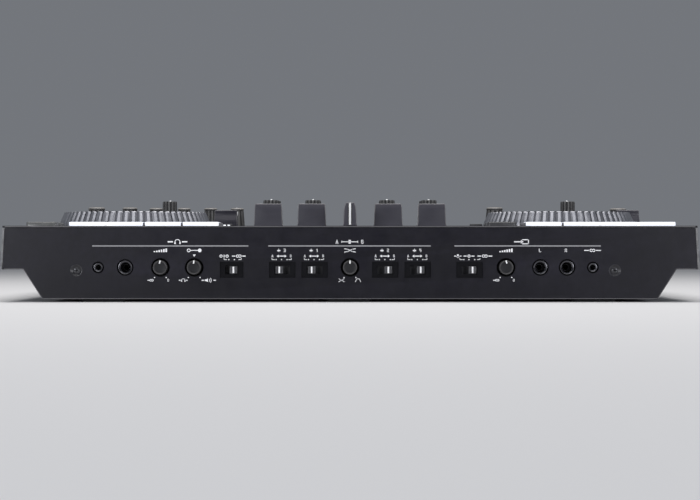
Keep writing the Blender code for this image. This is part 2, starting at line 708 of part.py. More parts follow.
def rimmed_profile(radius, height):
    """A knob with a domed top, a short straight rim and a body that widens towards the deck."""
    return [
        (0, height),
        (0.6 * radius, height - 0.2 * MM),
        (radius - 0.6 * MM, height - 1.2 * MM),
        (radius, height - 2.2 * MM),
        (radius, height - 4 * MM),
        (KNOB_FLARE * radius, KNOB_CLEARANCE),
        (KNOB_STEM_RADIUS, KNOB_CLEARANCE),
        (KNOB_STEM_RADIUS, KNOB_STEM_END),
        (0, KNOB_STEM_END),
    ]


def make_deck_knobs():
    for name, ((x, y), radius, height) in deck_knobs().items():
        profile = tall_profile if name.startswith(("parameter", "filter")) else rimmed_profile
        turned(name, profile(radius, height), BLACK_PLASTIC, 14, (x, y, DECK_Z))


def make_front_knobs():
    shaft_radius = 3 * MM
    skirt_end = -8 * MM
    shaft_end = -12 * MM
    profile = [
        (0, FRONT_KNOB_PROTRUSION),
        (FRONT_KNOB_RADIUS - 0.8 * MM, FRONT_KNOB_PROTRUSION),
        (FRONT_KNOB_RADIUS, FRONT_KNOB_PROTRUSION - 0.8 * MM),
        (FRONT_KNOB_RADIUS, skirt_end),
        (shaft_radius, skirt_end),
        (shaft_radius, shaft_end),
        (0, shaft_end),
    ]
    for name, x in FRONT_KNOB_X.items():
        turned(name, profile, BLACK_PLASTIC, 18, (x, FRONT_Y, FRONT_ROW_Z), FACING_FRONT)


def make_switch_caps():
    """Slide-switch caps, each on a short lever that runs back into its switch."""
    half_width, half_height = SWITCH_CAP_SIZE[0] / 2, SWITCH_CAP_SIZE[1] / 2
    lever = 2 * MM
    sections = [
        (-9 * MM, lever, lever),
        (-4 * MM, lever, lever),
        (-4 * MM, half_width, half_height),
        (-0.5 * MM, half_width, half_height),
        (-0.2 * MM, half_width - 0.3 * MM, half_height - 0.3 * MM),
    ]
    for name, (_, x) in SWITCHES.items():
        stacked(name, sections, BUTTON_GREY, (x, FRONT_Y, SWITCH_Z), FACING_FRONT)


def smooth_round_pieces():
    """Turned pieces get smooth shading with sharp edges at their corners."""
    for obj in PARTS.objects:
        if any(modifier.type == "SCREW" for modifier in obj.modifiers):
            obj.modifiers["turn"].use_smooth_shade = True


make_bottom_case()
make_side_cheeks()
make_front_panel()
make_rear_panel()
make_top_panel()
make_feet()
make_front_screws()
make_control_board()
make_jog_bearings()
make_jacks()
make_jog_platters()
make_pad_mats()
make_buttons()
make_faders()
make_deck_knobs()
make_front_knobs()
make_switch_caps()
smooth_round_pieces()
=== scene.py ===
"""The looks of a four-channel DJ controller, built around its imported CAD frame.

+X is the player's right, +Y runs from the front panel to the rear, +Z is up, and the origin is on the table.
Lengths are in mm, and Piece.loft turns them into metres. Places come from the frame's boxes.
"""

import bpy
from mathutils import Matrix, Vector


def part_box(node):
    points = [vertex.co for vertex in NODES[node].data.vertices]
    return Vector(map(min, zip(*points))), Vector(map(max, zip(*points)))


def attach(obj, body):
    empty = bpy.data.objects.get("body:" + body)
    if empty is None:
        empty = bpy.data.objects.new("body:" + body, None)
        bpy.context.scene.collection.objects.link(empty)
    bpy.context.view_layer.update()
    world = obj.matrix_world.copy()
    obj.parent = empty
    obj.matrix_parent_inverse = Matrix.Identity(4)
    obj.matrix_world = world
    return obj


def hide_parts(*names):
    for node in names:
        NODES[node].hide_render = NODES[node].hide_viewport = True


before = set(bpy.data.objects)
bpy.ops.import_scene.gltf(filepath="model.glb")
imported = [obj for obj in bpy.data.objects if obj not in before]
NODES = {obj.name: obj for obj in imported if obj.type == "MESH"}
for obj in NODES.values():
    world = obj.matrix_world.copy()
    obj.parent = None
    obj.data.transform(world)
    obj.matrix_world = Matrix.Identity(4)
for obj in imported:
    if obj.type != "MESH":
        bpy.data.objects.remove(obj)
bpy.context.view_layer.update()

import math

import bmesh
import bpy
from mathutils import Matrix, Vector

MM = 0.001
HERE = Matrix.Identity(4)
FROM_MM = Matrix.Scale(MM, 4)


def box(node):
    low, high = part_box(node)
    return low / MM, high / MM


def middle(node):
    low, high = box(node)
    return (low + high) / 2


# The planes that the pieces stand on.
FRONT = box("front_panel")[0].y
REAR = box("rear_panel")[1].y
REAR_EDGE = box("top_panel")[1].y
DECK = box("top_panel")[1].z
BASE = box("bottom_case")[0].z
KNOB_ROW = middle("curve_knob").z
SWITCH_ROW = middle("assign_switch_1").z
SIDES = ("left", "right")
CHANNELS = ("3", "1", "2", "4")
MIDDLE_X = {name: middle(name).x for name in NODES}
CHANNEL_X = {channel: MIDDLE_X[f"channel_fader_{channel}"] for channel in CHANNELS}
JOG = {side: middle(f"jog_platter_{side}") for side in SIDES}


def measure(node):
    """A node's middle, its half sizes, and how far its top stands over the deck."""
    low, high = box(node)
    return (low + high) / 2, (high - low) / 2, high.z - DECK


def at(x, y, z):
    return Matrix.Translation(Vector((x, y, z)) * MM)


def on_deck(x, y):
    return at(x, y, DECK)


def on_front(x, z):
    """Local +Z points to the front, local +X to the right and local +Y up."""
    return at(x, FRONT, z) @ Matrix.Rotation(math.pi / 2, 4, "X")


def on_rear(x, z):
    return at(x, REAR, z) @ Matrix.Rotation(math.pi, 4, "Z") @ Matrix.Rotation(math.pi / 2, 4, "X")


# Materials. Patterns lie over the object's own coordinates, and noise scales are in features per metre.


class Look:
    """A material in the making."""

    def __init__(self, name):
        self.material = bpy.data.materials.new(name)
        self.material.use_nodes = True
        self.tree = self.material.node_tree

    def feed(self, node, inputs):
        for name, value in inputs.items():
            if isinstance(value, bpy.types.NodeSocket):
                self.tree.links.new(value, node.inputs[name])
            else:
                node.inputs[name].default_value = value

    def node(self, kind, output, inputs, **settings):
        """Adds a node and gives one of its outputs. An input takes a value, or a socket to be linked to."""
        node = self.tree.nodes.new("ShaderNode" + kind)
        for name, value in settings.items():
            setattr(node, name, value)
        self.feed(node, inputs)
        return node.outputs[output]

    def finish(self, inputs):
        self.feed(self.tree.nodes["Principled BSDF"], inputs)
        return self.material

    def noise(self, scale, detail=3.0, stretch=None):
        place = self.node("TexCoord", "Object", {})
        if stretch:
            place = self.node("Mapping", "Vector", {"Scale": stretch, "Vector": place})
        return self.node("TexNoise", "Fac", {"Scale": scale, "Detail": detail, "Vector": place})

    def spread(self, value, low, high, lowest=0.3, highest=0.7):
        """Maps a value from lowest..highest to low..high."""
        inputs = {"Value": value, "From Min": lowest, "From Max": highest, "To Min": low, "To Max": high}
        return self.node("MapRange", "Result", inputs)

    def blend(self, factor, first, second):
        """Mixes two colours; the first can be a socket that gives one."""
        first = (*first, 1) if isinstance(first, tuple) else first
        return self.node("Mix", 2, {"Factor": factor, 6: first, 7: (*second, 1)}, data_type="RGBA")

    def mottled(self, scale, detail, first, second, lowest=0.3, highest=0.7):
        return self.blend(self.spread(self.noise(scale, detail), 0.0, 1.0, lowest, highest), first, second)

    def rough(self, scale, detail, low, high):
        return self.spread(self.noise(scale, detail), low, high)

    def bump(self, height, strength, distance=0.0002):
        return self.node("Bump", "Normal", {"Strength": strength, "Distance": distance, "Height": height})

    def edges_worn_and_highlit(self):
        """Near 1 on convex edges and 0 elsewhere: these edges are painted lighter, partly as wear where
        handling polishes the finish and partly as painted highlight.
        """
        edges = self.spread(self.node("NewGeometry", "Pointiness", {}), 0.0, 1.0, 0.52, 0.62)
        return self.node("Math", "Value", {0: edges, 1: self.rough(180, 3, 0.15, 1.0)}, operation="MULTIPLY")


def shade(colour, share):
    return tuple(share * part for part in colour)


def moulded(name, colour, roughness, grain, edge=2.2, specular=0.5, coat=0.0):
    """Paint, plastic or rubber: a grain of (scale, strength), faint marks, and convex edges a little lighter,
    partly wear and partly painted highlight.
    """
    look = Look(name)
    body = look.mottled(22, 4, shade(colour, 0.82), shade(colour, 1.15))
    grain_scale, grain_strength = grain
    return look.finish({
        "Base Color": look.blend(look.edges_worn_and_highlit(), body, shade(colour, edge)),
        "Roughness": look.rough(75, 5, roughness - 0.06, roughness + 0.08),
        "Specular IOR Level": specular,
        "Coat Weight": coat,
        "Coat Roughness": 0.08,
        "Normal": look.bump(look.noise(grain_scale, 2), grain_strength),
    })


def metal(name, colour, roughness, stretch, scale=900, marks=0.08):
    """Turned or brushed metal: fine streaks along the way it was worked."""
    look = Look(name)
    streaks = look.noise(scale, 3, stretch)
    return look.finish({
        "Base Color": look.blend(look.spread(streaks, 0.0, 1.0), shade(colour, 0.86), colour),
        "Roughness": look.rough(60, 4, roughness - marks, roughness + marks),
        "Metallic": 1.0,
        "Normal": look.bump(streaks, 0.12, 0.0001),
    })


def printed(name, colour, thin=0.12):
    """Screen-printed ink: slightly uneven cover, a little glossier than the paint below."""
    look = Look(name)
    cover = look.mottled(2600, 2, shade(colour, 1 - thin), colour)
    return look.finish({"Base Color": cover, "Roughness": look.rough(300, 2, 0.4, 0.55)})


def lit_silicone():
    """Frosted silicone over white lamps, a little cooler and dimmer in patches."""
    look = Look("lit silicone")
    colour = look.mottled(45, 3, (0.80, 0.84, 0.98), (0.95, 0.96, 1.0))
    return look.finish({
        "Base Color": colour,
        "Emission Color": colour,
        "Emission Strength": 0.66,
        "Roughness": 0.5,
        "Normal": look.bump(look.noise(1500, 2), 0.15),
    })


def lamp(name, colour, strength):
    """A lit window: its colour glows, with a faint unevenness."""
    look = Look(name)
    tone = look.mottled(400, 2, shade(colour, 0.7), colour)
    return look.finish(
        {"Base Color": tone, "Emission Color": tone, "Emission Strength": strength, "Roughness": 0.35}
    )


def turned_disc(name, colour, roughness, rings):
    """A disc with fine turned grooves round its own middle, and a little dust."""
    look = Look(name)
    inputs = {"Scale": rings, "Distortion": 0.0, "Vector": look.node("TexCoord", "Object", {})}
    turning = look.node("TexWave", "Fac", inputs, wave_type="RINGS", rings_direction="Z")
    return look.finish({
        "Base Color": look.mottled(120, 5, colour, shade(colour, 1.6), 0.45, 0.75),
        "Roughness": look.rough(50, 4, roughness - 0.07, roughness + 0.1),
        "Normal": look.bump(turning, 0.35),
    })


def smoked_glass(name):
    """A dark display window with a few finger marks."""
    look = Look(name)
    return look.finish({
        "Base Color": look.mottled(38, 4, (0.006, 0.007, 0.009), (0.014, 0.015, 0.018), 0.4, 0.7),
        "Roughness": look.rough(90, 4, 0.03, 0.16),
        "Coat Weight": 0.6,
        "Coat Roughness": 0.03,
    })


PAPER = Look("studio paper").finish(
    {"Base Color": (0.72, 0.72, 0.73, 1), "Roughness": 0.9, "Specular IOR Level": 0.1}
)
CASE_PAINT = moulded("case paint", (0.0062, 0.0061, 0.0090), 0.42, (1500, 0.35), specular=0.25)
FRONT_PAINT = moulded("front paint", (0.0054, 0.0050, 0.0090), 0.34, (1500, 0.3), specular=0.22)
# A lighter paint for the panels' rounded edges and thin edge lines: painted highlight.
EDGE_HIGHLIGHT_PAINT = moulded("rubbed edge paint", (0.086, 0.083, 0.088), 0.40, (1500, 0.2), 1.2)
CHEEK_PLASTIC = moulded("cheek plastic", (0.085, 0.085, 0.088), 0.38, (1500, 0.12))
FOOT_RUBBER = moulded("foot rubber", (0.012, 0.012, 0.013), 0.75, (900, 0.4))
KNOB_RUBBER = moulded("knob rubber", (0.042, 0.041, 0.042), 0.46, (1800, 0.2), 3)
KNOB_FACE = moulded("knob face", (0.0120, 0.0120, 0.0140), 0.42, (1800, 0.15), specular=0.22)
KNOB_RIM = moulded("knob rim", (0.26, 0.25, 0.24), 0.34, (1800, 0.15), 1.2)
KNOB_BODY = moulded("knob body", (0.075, 0.073, 0.073), 0.42, (1800, 0.2), 2)
# Lighter ridges and darker grooves for the fluted knobs: painted highlight and painted shade.
KNOB_RIDGE_HIGHLIGHT = moulded("knob ridge", (0.135, 0.132, 0.130), 0.40, (1800, 0.15), 1.2)
KNOB_GROOVE_SHADE = moulded("knob groove", (0.020, 0.020, 0.021), 0.55, (1500, 0.25), 1.2, 0.3)
# A lighter copy of the cap plastic: painted highlight.
CAP_EDGE_HIGHLIGHT = moulded("fader cap edge", (0.19, 0.18, 0.19), 0.38, (1700, 0.15), 1.2)
CAP_PLASTIC = moulded("fader cap plastic", (0.035, 0.033, 0.047), 0.42, (1700, 0.2), 1.5)
# One smoked key plastic in two copies, lighter for the left deck and darker for the right: painted light and
# painted shade.
KEY_PLASTIC_PAINTED_LIGHT = moulded("smoked key plastic", (0.098, 0.100, 0.098), 0.25, (900, 0.08), coat=0.3)
KEY_PLASTIC_PAINTED_SHADE = moulded("dark key plastic", (0.048, 0.047, 0.050), 0.25, (900, 0.08), coat=0.3)
SMALL_KEY = moulded("small key rubber", (0.040, 0.040, 0.044), 0.55, (1500, 0.2))
SOCKET_PLASTIC = moulded("socket plastic", (0.010, 0.010, 0.012), 0.22, (700, 0.08), coat=0.4)
WELL_BLACK = moulded("switch well", (0.018, 0.018, 0.022), 0.5, (1200, 0.25), 1.2, 0.3)
RECESS_BLACK = moulded("recess lacquer", (0.0032, 0.0032, 0.0045), 0.6, (1200, 0.1), 1.6, 0.1)
# Near-black lining for slots and mouths, also used as painted shade in the screws' cross recesses.
SLOT_BLACK_AND_SHADE = moulded("slot lining", (0.0030, 0.0030, 0.0035), 0.8, (900, 0.25), 1.2, 0.15)
SWITCH_PLASTIC = moulded("switch plastic", (0.040, 0.040, 0.044), 0.42, (1500, 0.15), 3)
WASHER_BLACK = moulded("blackened washer", (0.0075, 0.0072, 0.0105), 0.3, (1500, 0.2), 4)
BOARD = moulded("board lacquer", (0.007, 0.014, 0.010), 0.35, (600, 0.25), coat=0.2)
# Unlit silicone for the far row of pads, also used as painted shade on side walls of lit pads.
DIM_SILICONE_AND_WALL_SHADE = moulded("unlit silicone", (0.26, 0.26, 0.28), 0.5, (1500, 0.15), 1.3)
RED_PLASTIC = moulded("red insulator", (0.45, 0.02, 0.02), 0.35, (800, 0.25), 1.2)
WHITE_PLASTIC = moulded("white insulator", (0.75, 0.75, 0.73), 0.35, (800, 0.25), 1.05)
COLLAR_NICKEL = metal("black nickel collar", (0.105, 0.105, 0.115), 0.2, (1, 1, 6), marks=0.05)
SCREW_STEEL = metal("blackened screw", (0.075, 0.075, 0.08), 0.38, (1, 1, 1))
NICKEL = metal("nickel", (0.62, 0.60, 0.57), 0.22, (1, 1, 6))
STEEL = metal("turned steel", (0.50, 0.50, 0.51), 0.3, (1, 1, 8))
JOG_METAL = metal("jog aluminium", (0.46, 0.463, 0.50), 0.36, (1, 1, 0.08), 1400)
# A darker copy of the jog metal for the groove floors: painted shade.
JOG_GROOVE_SHADE = metal("jog groove", (0.10, 0.10, 0.11), 0.42, (1, 1, 0.08), 1400)
VINYL = turned_disc("jog face", (0.016, 0.016, 0.018), 0.32, 260)
DISPLAY = smoked_glass("display glass")
PADS = lit_silicone()
INK = printed("white ink", (0.93, 0.93, 0.95), 0.04)
GREY_INK = printed("grey ink", (0.33, 0.33, 0.345))
POINTER_WHITE = printed("pointer white", (0.95, 0.95, 0.95), 0.04)
WHITE_LAMP = lamp("white lamp", (0.92, 0.95, 1.0), 1.4)
GREEN_LAMP = lamp("green lamp", (0.05, 0.75, 0.18), 0.9)
AMBER_LAMP = lamp("amber lamp", (0.95, 0.42, 0.04), 0.9)


# Camera, floor and light, in metres.

CAMERA_DISTANCE = 1.85
CAMERA_HEIGHT = 0.0532
LENS = 93.1
FLOOR_REACH = 40.0


def add_object(name, data):
    thing = bpy.data.objects.new(name, data)
    bpy.context.scene.collection.objects.link(thing)
    return thing


def make_camera():
    """Level with the middle of the front panel, as in a studio front elevation."""
    data = bpy.data.cameras.new("camera")
    data.sensor_width = 36
    data.lens = LENS
    data.clip_end = 50
    camera = add_object("camera", data)
    camera.location = (0, FRONT * MM - CAMERA_DISTANCE, CAMERA_HEIGHT)
    camera.rotation_euler = (math.pi / 2, 0, 0)
    bpy.context.scene.camera = camera


def make_floor():
    """A wide pale floor under a plain studio sky."""
    bm = bmesh.new()
    corners = ((-1, -1), (1, -1), (1, 1), (-1, 1))
    bm.faces.new([bm.verts.new((x * FLOOR_REACH, y * FLOOR_REACH, 0)) for x, y in corners])
    mesh = bpy.data.meshes.new("floor")
    bm.to_mesh(mesh)
    bm.free()
    floor = add_object("floor", mesh)
    floor.data.materials.append(PAPER)


def area_light(name, location, target, size, power, colour=(1, 1, 1)):
    data = bpy.data.lights.new(name, "AREA")
    data.shape = "RECTANGLE"
    data.size, data.size_y = size
    data.energy = power
    data.color = colour
    light = add_object(name, data)
    light.location = location
    light.rotation_euler = (Vector(target) - Vector(location)).to_track_quat("-Z", "Y").to_euler()


def make_light():
    world = bpy.data.worlds.new("studio")
    world.use_nodes = True
    background = world.node_tree.nodes["Background"]
    background.inputs["Color"].default_value = (0.86, 0.91, 1.0, 1)
    background.inputs["Strength"].default_value = 0.2
    bpy.context.scene.world = world
    bpy.context.scene.view_settings.view_transform = "Standard"
    area_light("overhead", (0, 0.1, 1.9), (0, 0, 0), (2.2, 1.2), 36, (1, 0.98, 0.96))
    area_light("front_top", (0, -1.9, 2.1), (0, 0, 0.05), (3.4, 0.8), 14)
    area_light("left_low", (-1.5, -2.9, 0.42), (-0.3, 0, 0.05), (0.8, 0.7), 26, (0.94, 0.96, 1.0))
    area_light("right_low", (1.5, -2.9, 0.42), (0.3, 0, 0.05), (0.8, 0.7), 20, (0.94, 0.96, 1.0))


# Shaping tools.

CORNER_STEPS = 5
SMOOTH_ANGLE = math.radians(32)
INK_THICKNESS = 0.05
STROKE_WEIGHT = 0.224  # the width of a figure's strokes, in figure heights


def polar(radius, turn):
    return radius * math.cos(turn), radius * math.sin(turn)


def spin(turn):
    return Matrix.Rotation(turn, 4, "Z")


def circle(radius, height, count, wave=None):
    """A loop round local Z. wave gives how much of the radius is cut away at each angle."""
    loop = []
    for i in range(count):
        turn = 2 * math.pi * i / count
        loop.append(Vector((*polar(radius - (wave(turn) if wave else 0.0), turn), height)))
    return loop


def rounded_rectangle(half_x, half_y, corner, height):
    """A loop round local Z with rounded corners."""
    corner = min(corner, half_x, half_y)
    loop = []
    for quarter, (sx, sy) in enumerate(((1, 1), (-1, 1), (-1, -1), (1, -1))):
        centre = Vector((sx * (half_x - corner), sy * (half_y - corner), height))
        for i in range(CORNER_STEPS + 1):
            turn = math.pi / 2 * (quarter + i / CORNER_STEPS)
            loop.append(centre + Vector((*polar(corner, turn), 0)))
    return loop


def grooves(count, depth):
    """A wave for circle(): count grooves, each half of its pitch wide, with rounded floors."""

    def wave(turn):
        phase = (turn * count / (2 * math.pi)) % 1.0
        across = abs(phase - 0.5) / 0.25
        return depth * (1 - across * across) if across < 1 else 0.0

    return wave


def flat_grooves(count, depth):
    """The same with eight points a groove: a flat land, two sloping walls and a narrow flat floor."""
    land, floor = 3 / 16, 7 / 16

    def wave(turn):
        phase = (turn * count / (2 * math.pi) + 1 / 16) % 1.0
        off_land = min(phase, 1 - phase)
        return depth * min(1.0, max(0.0, (off_land - land) / (floor - land)))

    return wave


class Piece:
    """A mesh in the making: closed shapes are added one by one, each with its material."""

    def __init__(self, place=HERE):
        self.bm = bmesh.new()
        self.materials = []
        self.place = place

    def index_of(self, material):
        if material not in self.materials:
            self.materials.append(material)
        return self.materials.index(material)

    def loft(self, loops, material, place=HERE, ring=False):
        """Joins loops into a closed shape: the ends are capped, or with ring joined to each other."""
        matrix = self.place @ place @ FROM_MM
        index = self.index_of(material)
        rows = [[self.bm.verts.new(matrix @ point) for point in loop] for loop in loops]
        faces = []
        for lower, upper in list(zip(rows, rows[1:])) + ([(rows[-1], rows[0])] if ring else []):
            for i in range(len(lower)):
                j = (i + 1) % len(lower)
                faces.append(self.bm.faces.new((lower[i], lower[j], upper[j], upper[i])))
        if not ring:
            faces.append(self.bm.faces.new(list(reversed(rows[0]))))
            faces.append(self.bm.faces.new(rows[-1]))
        for face in faces:
            face.material_index = index
        bmesh.ops.recalc_face_normals(self.bm, faces=faces)

    def turned(self, profile, material, place=HERE, count=48, wave=None, waved=(), ring=False):
        """A shape of (radius, height) rings; the wave cuts only the rings whose index is in waved."""
        loops = []
        for i, (radius, height) in enumerate(profile):
            loops.append(circle(radius, height, count, wave if i in waved else None))
        self.loft(loops, material, place, ring)

    def slab(self, half_x, half_y, corner, levels, material, place=HERE, ring=False, follow=0.5):
        """A rounded block of (inset, height) levels; its corners lose the share follow of the inset."""
        loops = []
        for inset, height in levels:
            loops.append(rounded_rectangle(half_x - inset, half_y - inset, corner - follow * inset, height))
        self.loft(loops, material, place, ring)

    def stripe(self, start, rows, count, chosen, material):
        """Another material for the chosen faces of every eight round a turned shape of count faces a row."""
        self.bm.faces.ensure_lookup_table()
        index = self.index_of(material)
        for row in rows:
            for i in range(count):
                if i % 8 in chosen:
                    self.bm.faces[start + row * count + i].material_index = index

    def build(self, name, body, slot, replaces=(), own_origin=False):
        """Makes the object; with own_origin its origin is the piece's place, and else the frame's."""
        origin = self.place.translation.copy() if own_origin else Vector((0, 0, 0))
        mesh = bpy.data.meshes.new(name)
        bmesh.ops.translate(self.bm, vec=-origin, verts=self.bm.verts)
        self.bm.to_mesh(mesh)
        self.bm.free()
        mesh.shade_smooth()
        mesh.set_sharp_from_angle(angle=SMOOTH_ANGLE)
        for material in self.materials:
            mesh.materials.append(material)
        obj = add_object(name, mesh)
        obj.location = origin
        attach(obj, body)
        if replaces:
            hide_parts(*replaces)

    def stand_for(self, node, ending, slot, body="root", own_origin=False):
        self.build(node + ending, body, slot, [node], own_origin)


class Print:
    """Screen print on a flat face: thin raised shapes in the face's own axes, from its origin."""

    def __init__(self, place):
        self.piece = Piece(place)

    def polygon(self, points, material=INK):
        self.piece.loft([[Vector((x, y, h)) for x, y in points] for h in (-0.02, INK_THICKNESS)], material)

    def bar(self, x, y, width, height, material=INK):
        w, h = width / 2, height / 2
        self.polygon([(x - w, y - h), (x + w, y - h), (x + w, y + h), (x - w, y + h)], material)

    def bars(self, x, away, y, width, height, material=INK):
        """Two bars, one on each side of x."""
        for sign in (-1, 1):
            self.bar(x + sign * away, y, width, height, material)

    def dot(self, x, y, radius, count=14, material=INK):
        around = [polar(radius, 2 * math.pi * i / count) for i in range(count)]
        self.polygon([(x + u, y + v) for u, v in around], material)

    def line(self, points, width, material=INK):
        """A broken line of flat strokes."""
        for (x0, y0), (x1, y1) in zip(points, points[1:]):
            length = math.hypot(x1 - x0, y1 - y0)
            ux, uy = (x1 - x0) / length * width / 2, (y1 - y0) / length * width / 2
            corners = [(x0 - ux - uy, y0 - uy + ux), (x0 - ux + uy, y0 - uy - ux)]
            corners += [(x1 + ux + uy, y1 + uy - ux), (x1 + ux - uy, y1 + uy + ux)]
            self.polygon(corners, material)

    def arc(self, x, y, radius, start, end, width, steps=12, material=INK):
        """An arc from start to end, in degrees from +X."""
        turns = [math.radians(start + (end - start) * i / steps) for i in range(steps + 1)]
        inner, outer = radius - width / 2, radius + width / 2
        for a, b in zip(turns, turns[1:]):
            corners = (polar(inner, a), polar(outer, a), polar(outer, b), polar(inner, b))
            self.polygon([(x + u, y + v) for u, v in corners], material)

    def ring(self, x, y, radius, width, steps=16, material=INK):
        self.arc(x, y, radius, 0, 360, width, steps, material)

    def glyph(self, character, x, y, height):
        """One numeral, letter or sign of plain strokes, centred at x, y."""
        width = 0.56 * height
        for stroke in STROKES[character]:
            points = [(x + (u - 0.5) * width, y + (v - 0.5) * height) for u, v in stroke]
            self.line(points, STROKE_WEIGHT * height)

    def build(self, name, body="root", slot="deck_black"):
        self.piece.build(name, body, slot)


# Plain stroke figures on a unit square.
STROKES = {
    "0": [[(0, 0), (1, 0), (1, 1), (0, 1), (0, 0)]],
    "1": [[(0.2, 0.8), (0.55, 1), (0.55, 0)]],
    "2": [[(0, 1), (1, 1), (1, 0.5), (0, 0.5), (0, 0), (1, 0)]],
    "3": [[(0, 1), (1, 1), (1, 0), (0, 0)], [(0.25, 0.5), (1, 0.5)]],
    "4": [[(0, 1), (0, 0.4), (1, 0.4)], [(0.75, 1), (0.75, 0)]],
    "A": [[(0, 0), (0.5, 1), (1, 0)], [(0.25, 0.35), (0.75, 0.35)]],
    "B": [[(0, 0), (0, 1), (0.85, 0.95), (0.85, 0.55), (1, 0.45), (1, 0.05), (0, 0)], [(0, 0.5), (0.9, 0.5)]],
    "L": [[(0, 1), (0, 0), (1, 0)]],
    "R": [[(0, 0), (0, 1), (1, 1), (1, 0.5), (0, 0.5)], [(0.5, 0.5), (1, 0)]],
    "+": [[(0, 0.5), (1, 0.5)], [(0.5, 0.15), (0.5, 0.85)]],
    "-": [[(0, 0.5), (1, 0.5)]],
}


# The case.


def soften(node, width, edge_material=None):
    """Rounds the edges of a CAD node where they show; the rounding can have a material of its own."""
    bevel = NODES[node].modifiers.new("softened edges", "BEVEL")
    bevel.width = width * MM
    bevel.segments = 2
    bevel.limit_method = "ANGLE"
    bevel.angle_limit = math.radians(35)
    bevel.use_clamp_overlap = True
    if edge_material:
        NODES[node].data.materials.append(edge_material)
        bevel.material = len(NODES[node].data.materials) - 1


def paint(node, material):
    NODES[node].data.materials.clear()
    NODES[node].data.materials.append(material)


def dress_case():
    for node in ("bottom_case", "top_panel", "rear_panel"):
        paint(node, CASE_PAINT)
    paint("front_panel", FRONT_PAINT)
    paint("control_board", BOARD)
    for side in SIDES:
        paint(f"side_cheek_{side}", CHEEK_PLASTIC)
        paint(f"jog_bearing_{side}", STEEL)
        soften(f"side_cheek_{side}", 0.5)
    # The front and top panels' rounded edges take the lighter edge paint: painted highlight.
    soften("front_panel", 0.35, EDGE_HIGHLIGHT_PAINT)
    soften("top_panel", 0.4, EDGE_HIGHLIGHT_PAINT)
    soften("rear_panel", 0.35)
    soften("bottom_case", 0.6)


def make_feet():
    """Rubber feet with a ribbed sole edge."""
    for node in sorted(name for name in NODES if "foot" in name):
        centre, half, over_deck = measure(node)
        top = DECK + over_deck
        foot = Piece(at(centre.x, centre.y, 0))
        levels = [(1.2, 0), (0.5, 0.25), (0.15, 0.8), (0.35, 1.2), (0, 1.6), (0, top - 0.3), (0.3, top)]
        foot.slab(half.x, half.y, 4, levels, FOOT_RUBBER)
        foot.stand_for(node, "_rubber", "foot_rubber")


def cross_recess(piece, radius, depth, top, place=HERE):
    """Two crossed slots on a screw's head, as slim near-black blocks that end flush with it: painted shade in
    place of a sunk recess.
    """
    for turn in (0, math.pi / 2):
        levels = [(0.12, top - depth), (0, top + 0.012)]
        piece.slab(radius, 0.42, 0.1, levels, SLOT_BLACK_AND_SHADE, place @ spin(turn))


def make_front_screws():
    """Countersunk screws, each in a thin cup washer."""
    head = [
        (1.5, -11), (1.5, -1.2), (2.6, -1.2), (3.1, -1.05), (3.15, -0.8), (2.8, -0.55), (1.9, -0.4),
        (0.4, -0.36),
    ]
    washer = [
        (3.2, -1.25), (4.6, -0.9), (5.7, -0.2), (6.0, -0.02), (6.2, 0.06), (6.2, 0.12), (5.9, 0.12),
        (5.5, -0.05), (4.5, -0.7), (3.3, -1.0),
    ]
    for side in SIDES:
        node = f"front_screw_{side}"
        centre = middle(node)
        screw = Piece(on_front(centre.x, centre.z))
        screw.turned(head, SCREW_STEEL, count=40)
        cross_recess(screw, 2.1, 0.7, -0.33)
        screw.turned(washer, WASHER_BLACK, ring=True)
        screw.stand_for(node, "_steel", "screw_black")


def make_case_screws():
    """Small pan-head screws that hold the case together, in the base and the rear panel."""
    screws = Piece()
    head = [(2.9, -0.05), (3.0, 0.3), (2.7, 0.8), (1.9, 1.1), (0.4, 1.2)]
    places = []
    for x in (-290, -145, 0, 145, 290):
        for y in (-150, 30, 165):
            places.append(at(x, y, BASE) @ Matrix.Rotation(math.pi, 4, "X"))
    for x, z in ((-300, 68), (-215, 10), (215, 10), (300, 68)):
        places.append(on_rear(x, z))
    for place in places:
        screws.turned(head, SCREW_STEEL, place, 20)
        cross_recess(screws, 1.4, 0.5, 1.2, place)
    screws.build("case_screws", "root", "screw_black")


# The front panel.

FRONT_KNOB_LEANS = {"phones_level_knob": -14, "phones_mix_knob": -12, "curve_knob": 0, "aux_level_knob": 12}
SWITCH_NODES = (
    "phones_split_switch", "assign_switch_3", "assign_switch_1", "assign_switch_2", "assign_switch_4",
    "aux_mode_switch",
)
LARGE_COLLAR = [
    (4.4, -3.4), (4.6, -2.9), (5.1, -2.3), (5.7, -1.8), (6.3, -1.4), (6.75, -1.15), (7.0, -1.2), (7.1, -1.5),
    (7.1, -5.9), (4.4, -5.9),
]
LARGE_BORE = [
    (0.4, -25), (3.3, -24.6), (3.3, -11), (4.4, -10.2), (4.4, -5.95), (7.0, -5.95), (7.15, -3.5), (9.4, -3.5),
    (9.4, -28), (0.4, -28),
]
MINI_COLLAR = [
    (2.3, -2.4), (2.5, -1.9), (3.0, -1.45), (3.6, -1.1), (4.15, -0.85), (4.4, -0.9), (4.5, -1.2), (4.5, -5.9),
    (2.3, -5.9),
]
MINI_BORE = [
    (0.3, -15), (1.8, -14.8), (1.8, -7.5), (2.3, -7), (2.3, -5.95), (4.4, -5.95), (4.55, -3.5), (6.9, -3.5),
    (6.9, -18), (0.3, -18),
]


